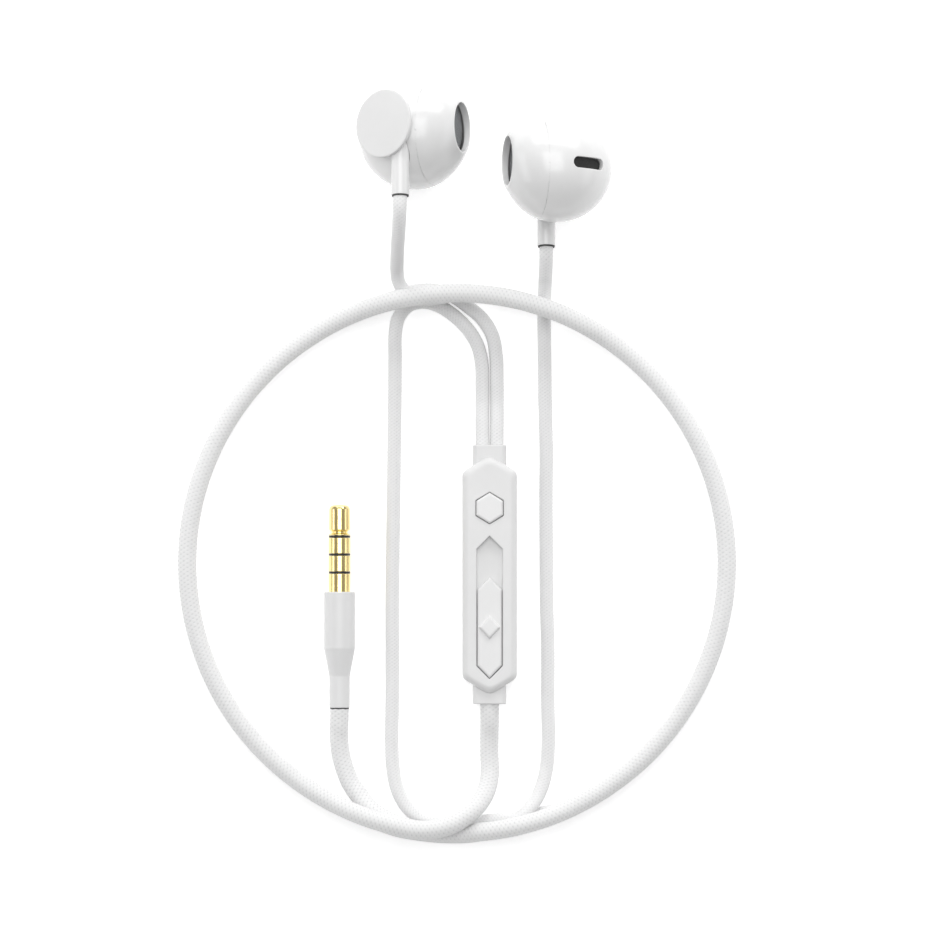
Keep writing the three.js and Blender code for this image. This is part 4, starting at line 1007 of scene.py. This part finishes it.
def spline(route, spacing):
    """Evenly spaced points on the centripetal Catmull-Rom curve through the route."""
    p = np.array(route, float)
    p = np.vstack([2 * p[0] - p[1], p, 2 * p[-1] - p[-2]])
    dense = []
    for i in range(len(p) - 3):
        a, b, c, d = p[i:i + 4]
        t = np.cumsum([0.0, *(np.linalg.norm(q - r) ** 0.5 for q, r in ((b, a), (c, b), (d, c)))])
        s = np.linspace(t[1], t[2], 40, endpoint=False)[:, None]
        ab = (a * (t[1] - s) + b * s) / t[1]
        bc = (b * (t[2] - s) + c * (s - t[1])) / (t[2] - t[1])
        cd = (c * (t[3] - s) + d * (s - t[2])) / (t[3] - t[2])
        abc = (ab * (t[2] - s) + bc * s) / t[2]
        bcd = (bc * (t[3] - s) + cd * (s - t[1])) / (t[3] - t[1])
        dense.append((abc * (t[2] - s) + bcd * (s - t[1])) / (t[2] - t[1]))
    dense = np.vstack([*dense, p[-2]])
    return evenly(dense, spacing)


def evenly(points, spacing):
    along = distances(points)
    places = np.linspace(0, along[-1], max(2, int(round(along[-1] / spacing))) + 1)
    return np.stack([np.interp(places, along, points[:, i]) for i in range(3)], 1)


def braided_tube(line, radius, sides, carriers, pitch, relief):
    """A tube along the line whose surface is a one-over-one braid. Returns points, quads, and
    the lay of the two strand families, with the height, at each quad's corners."""
    rings = len(line)
    along = directions(line)
    beside = np.empty_like(line)
    guess = np.cross(along[0], [0.0, 0.0, 1.0])
    for i in range(rings):
        guess = guess - along[i] * (guess @ along[i])
        guess /= np.linalg.norm(guess)
        beside[i] = guess
    above = np.cross(along, beside)
    length = distances(line)
    share = np.arange(sides) / sides
    first = carriers * share[None, :] + length[:, None] / pitch
    second = carriers * share[None, :] - length[:, None] / pitch
    height = braid_height(first, second)
    rim = radius - relief * (0.75 - height)
    angle = 2 * math.pi * share[None, :, None]
    points = line[:, None] + rim[..., None] * (np.cos(angle) * beside[:, None]
                                               + np.sin(angle) * above[:, None])
    row, side = np.meshgrid(np.arange(rings - 1), np.arange(sides), indexing="ij")
    after = (side + 1) % sides
    quads = np.stack([row * sides + side, row * sides + after,
                      (row + 1) * sides + after, (row + 1) * sides + side], -1).reshape(-1, 4)
    corner_row = np.stack([row, row, row + 1, row + 1], -1).reshape(-1)
    corner_share = np.stack([side, side + 1, side + 1, side], -1).reshape(-1) / sides
    lay = np.stack([carriers * corner_share + length[corner_row] / pitch,
                    carriers * corner_share - length[corner_row] / pitch,
                    height[corner_row, (corner_share * sides).round().astype(int) % sides]], 1)
    return points.reshape(-1, 3), quads, lay


def braid_height(first, second):
    """Height of the braid, 0 to 1, where strand family one has the index first."""
    lift = 0.5 + 0.5 * np.sin(math.pi * first) * np.sin(math.pi * second)
    ridges = [np.sqrt(np.clip(1 - (2 * (x % 1) - 1) ** 2, 0, 1)) for x in (first, second)]
    return np.maximum(0.55 * ridges[0] + 0.45 * lift, 0.55 * ridges[1] + 0.45 * (1 - lift))


def make_cord(name, route, radius, sides, carriers, pitch, relief, slot, node):
    """A braided cord as a mesh tube with closed ends. Returns the piece and its centreline."""
    line = spline(route, 0.105 * COARSE)
    points, quads, lay = braided_tube(line, radius, sides, carriers, pitch, relief)
    last = len(points)
    caps = [tuple(range(sides - 1, -1, -1)), tuple(range(last - sides, last))]
    piece = mesh_object(name, points, quads.tolist() + caps, slot, nodes=[node])
    attribute = piece.data.attributes.new("lay", "FLOAT_VECTOR", "CORNER")
    lay = np.vstack([lay, np.zeros((2 * sides, 3))])
    attribute.data.foreach_set("vector", lay.astype(np.float32).ravel())
    return piece, line


def make_cords(plug_pieces):
    into_plug = (PLUG_CENTRE[0], PLUG_CENTRE[1] + HOUSING_END + 1.2, PLUG_CENTRE[2])
    piece, line = make_cord("braided_main_cable", [*MAIN_ROUTE, into_plug], MAIN_RADIUS, 48, 8,
                            0.69, 0.11, "braid", "main_cable")
    for side, route, hand in (("right", RIGHT_ROUTE, 1), ("left", LEFT_ROUTE, -1)):
        mouth = in_world(side, [(STEM_X, STEM_END + 0.3, STEM_Z)])[0]
        piece, line = make_cord(f"braided_{side}_ear_wire", [tuple(mouth), *route], EAR_RADIUS, 36,
                                8, 0.55, 0.08, "braid_fine", f"{side}_ear_wire")
        line = line[::-1]


# ---------------------------------------------------------------- CAD pieces that stay
INNER_SLOTS = {
    "nozzle_damper": "grey_foam", "driver_frame": "black_plastic", "driver_yoke": "steel",
    "driver_magnet": "steel", "driver_top_plate": "steel", "voice_coil": "copper",
    "diaphragm": "clear_film", "wire_knot": "braid_fine", "circuit_board": "green_board",
    "microphone": "steel", "control_chip": "black_plastic", "ear_wire_anchor": "copper",
    "main_cable_anchor": "copper", "switch_plunger": "black_plastic", "tact_switch": "steel",
    "slider_wiper": "copper", "slider_track": "black_plastic", "plug_core": "black_plastic",
    "plug_crimp": "steel",
}


def finish_cad_nodes():
    for name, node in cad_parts.items():
        kind = name.removeprefix("left_").removeprefix("right_")
        if kind in INNER_SLOTS:
            node.data.materials.clear()
            node.data.materials.append(MATERIALS[INNER_SLOTS[kind]])


MATERIALS = {name: make(name, *values) for name, make, *values in (
    ("gloss_white", moulded, [0.73] * 3, 0.22, 0.0000015, 700, 0.15, 0.12),
    ("matte_white", moulded, [0.70] * 3, 0.55, 0.000006, 9000),
    ("satin_white", moulded, [0.72] * 3, 0.40, 0.000005, 8000),
    ("button_white", moulded, [0.745] * 3, 0.34, 0.000003, 8000),
    ("braid", make_braid, 5),
    ("braid_fine", make_braid, 4),
    ("gold", make_gold),
    ("steel", metal, (0.60, 0.61, 0.63), 0.3),
    ("steel_mesh", metal, (0.34, 0.35, 0.36), 0.4),
    ("copper", metal, (0.78, 0.40, 0.22), 0.3),
    ("black_gauze", dark_soft, 0.55, 0.008, 0.03, 4000, 9000, 2),
    ("grey_foam", make_foam),
    # Dark rubber for the plug's tail seal, and also the painted shade ring at each stem's end.
    ("dark_rubber", dark_soft, 0.6, 0.03, 0.07, 1500, 6000, 3),
    ("black_plastic", moulded, [0.014] * 3, 0.38, 0.000004, 5000),
    ("clear_film", moulded, (0.75, 0.79, 0.82), 0.2, 0.000003, 900),
    ("green_board", make_board),
)}

make_camera()
make_light()
make_floor()
finish_cad_nodes()
make_cords(make_plug())
make_buds()
make_remote()
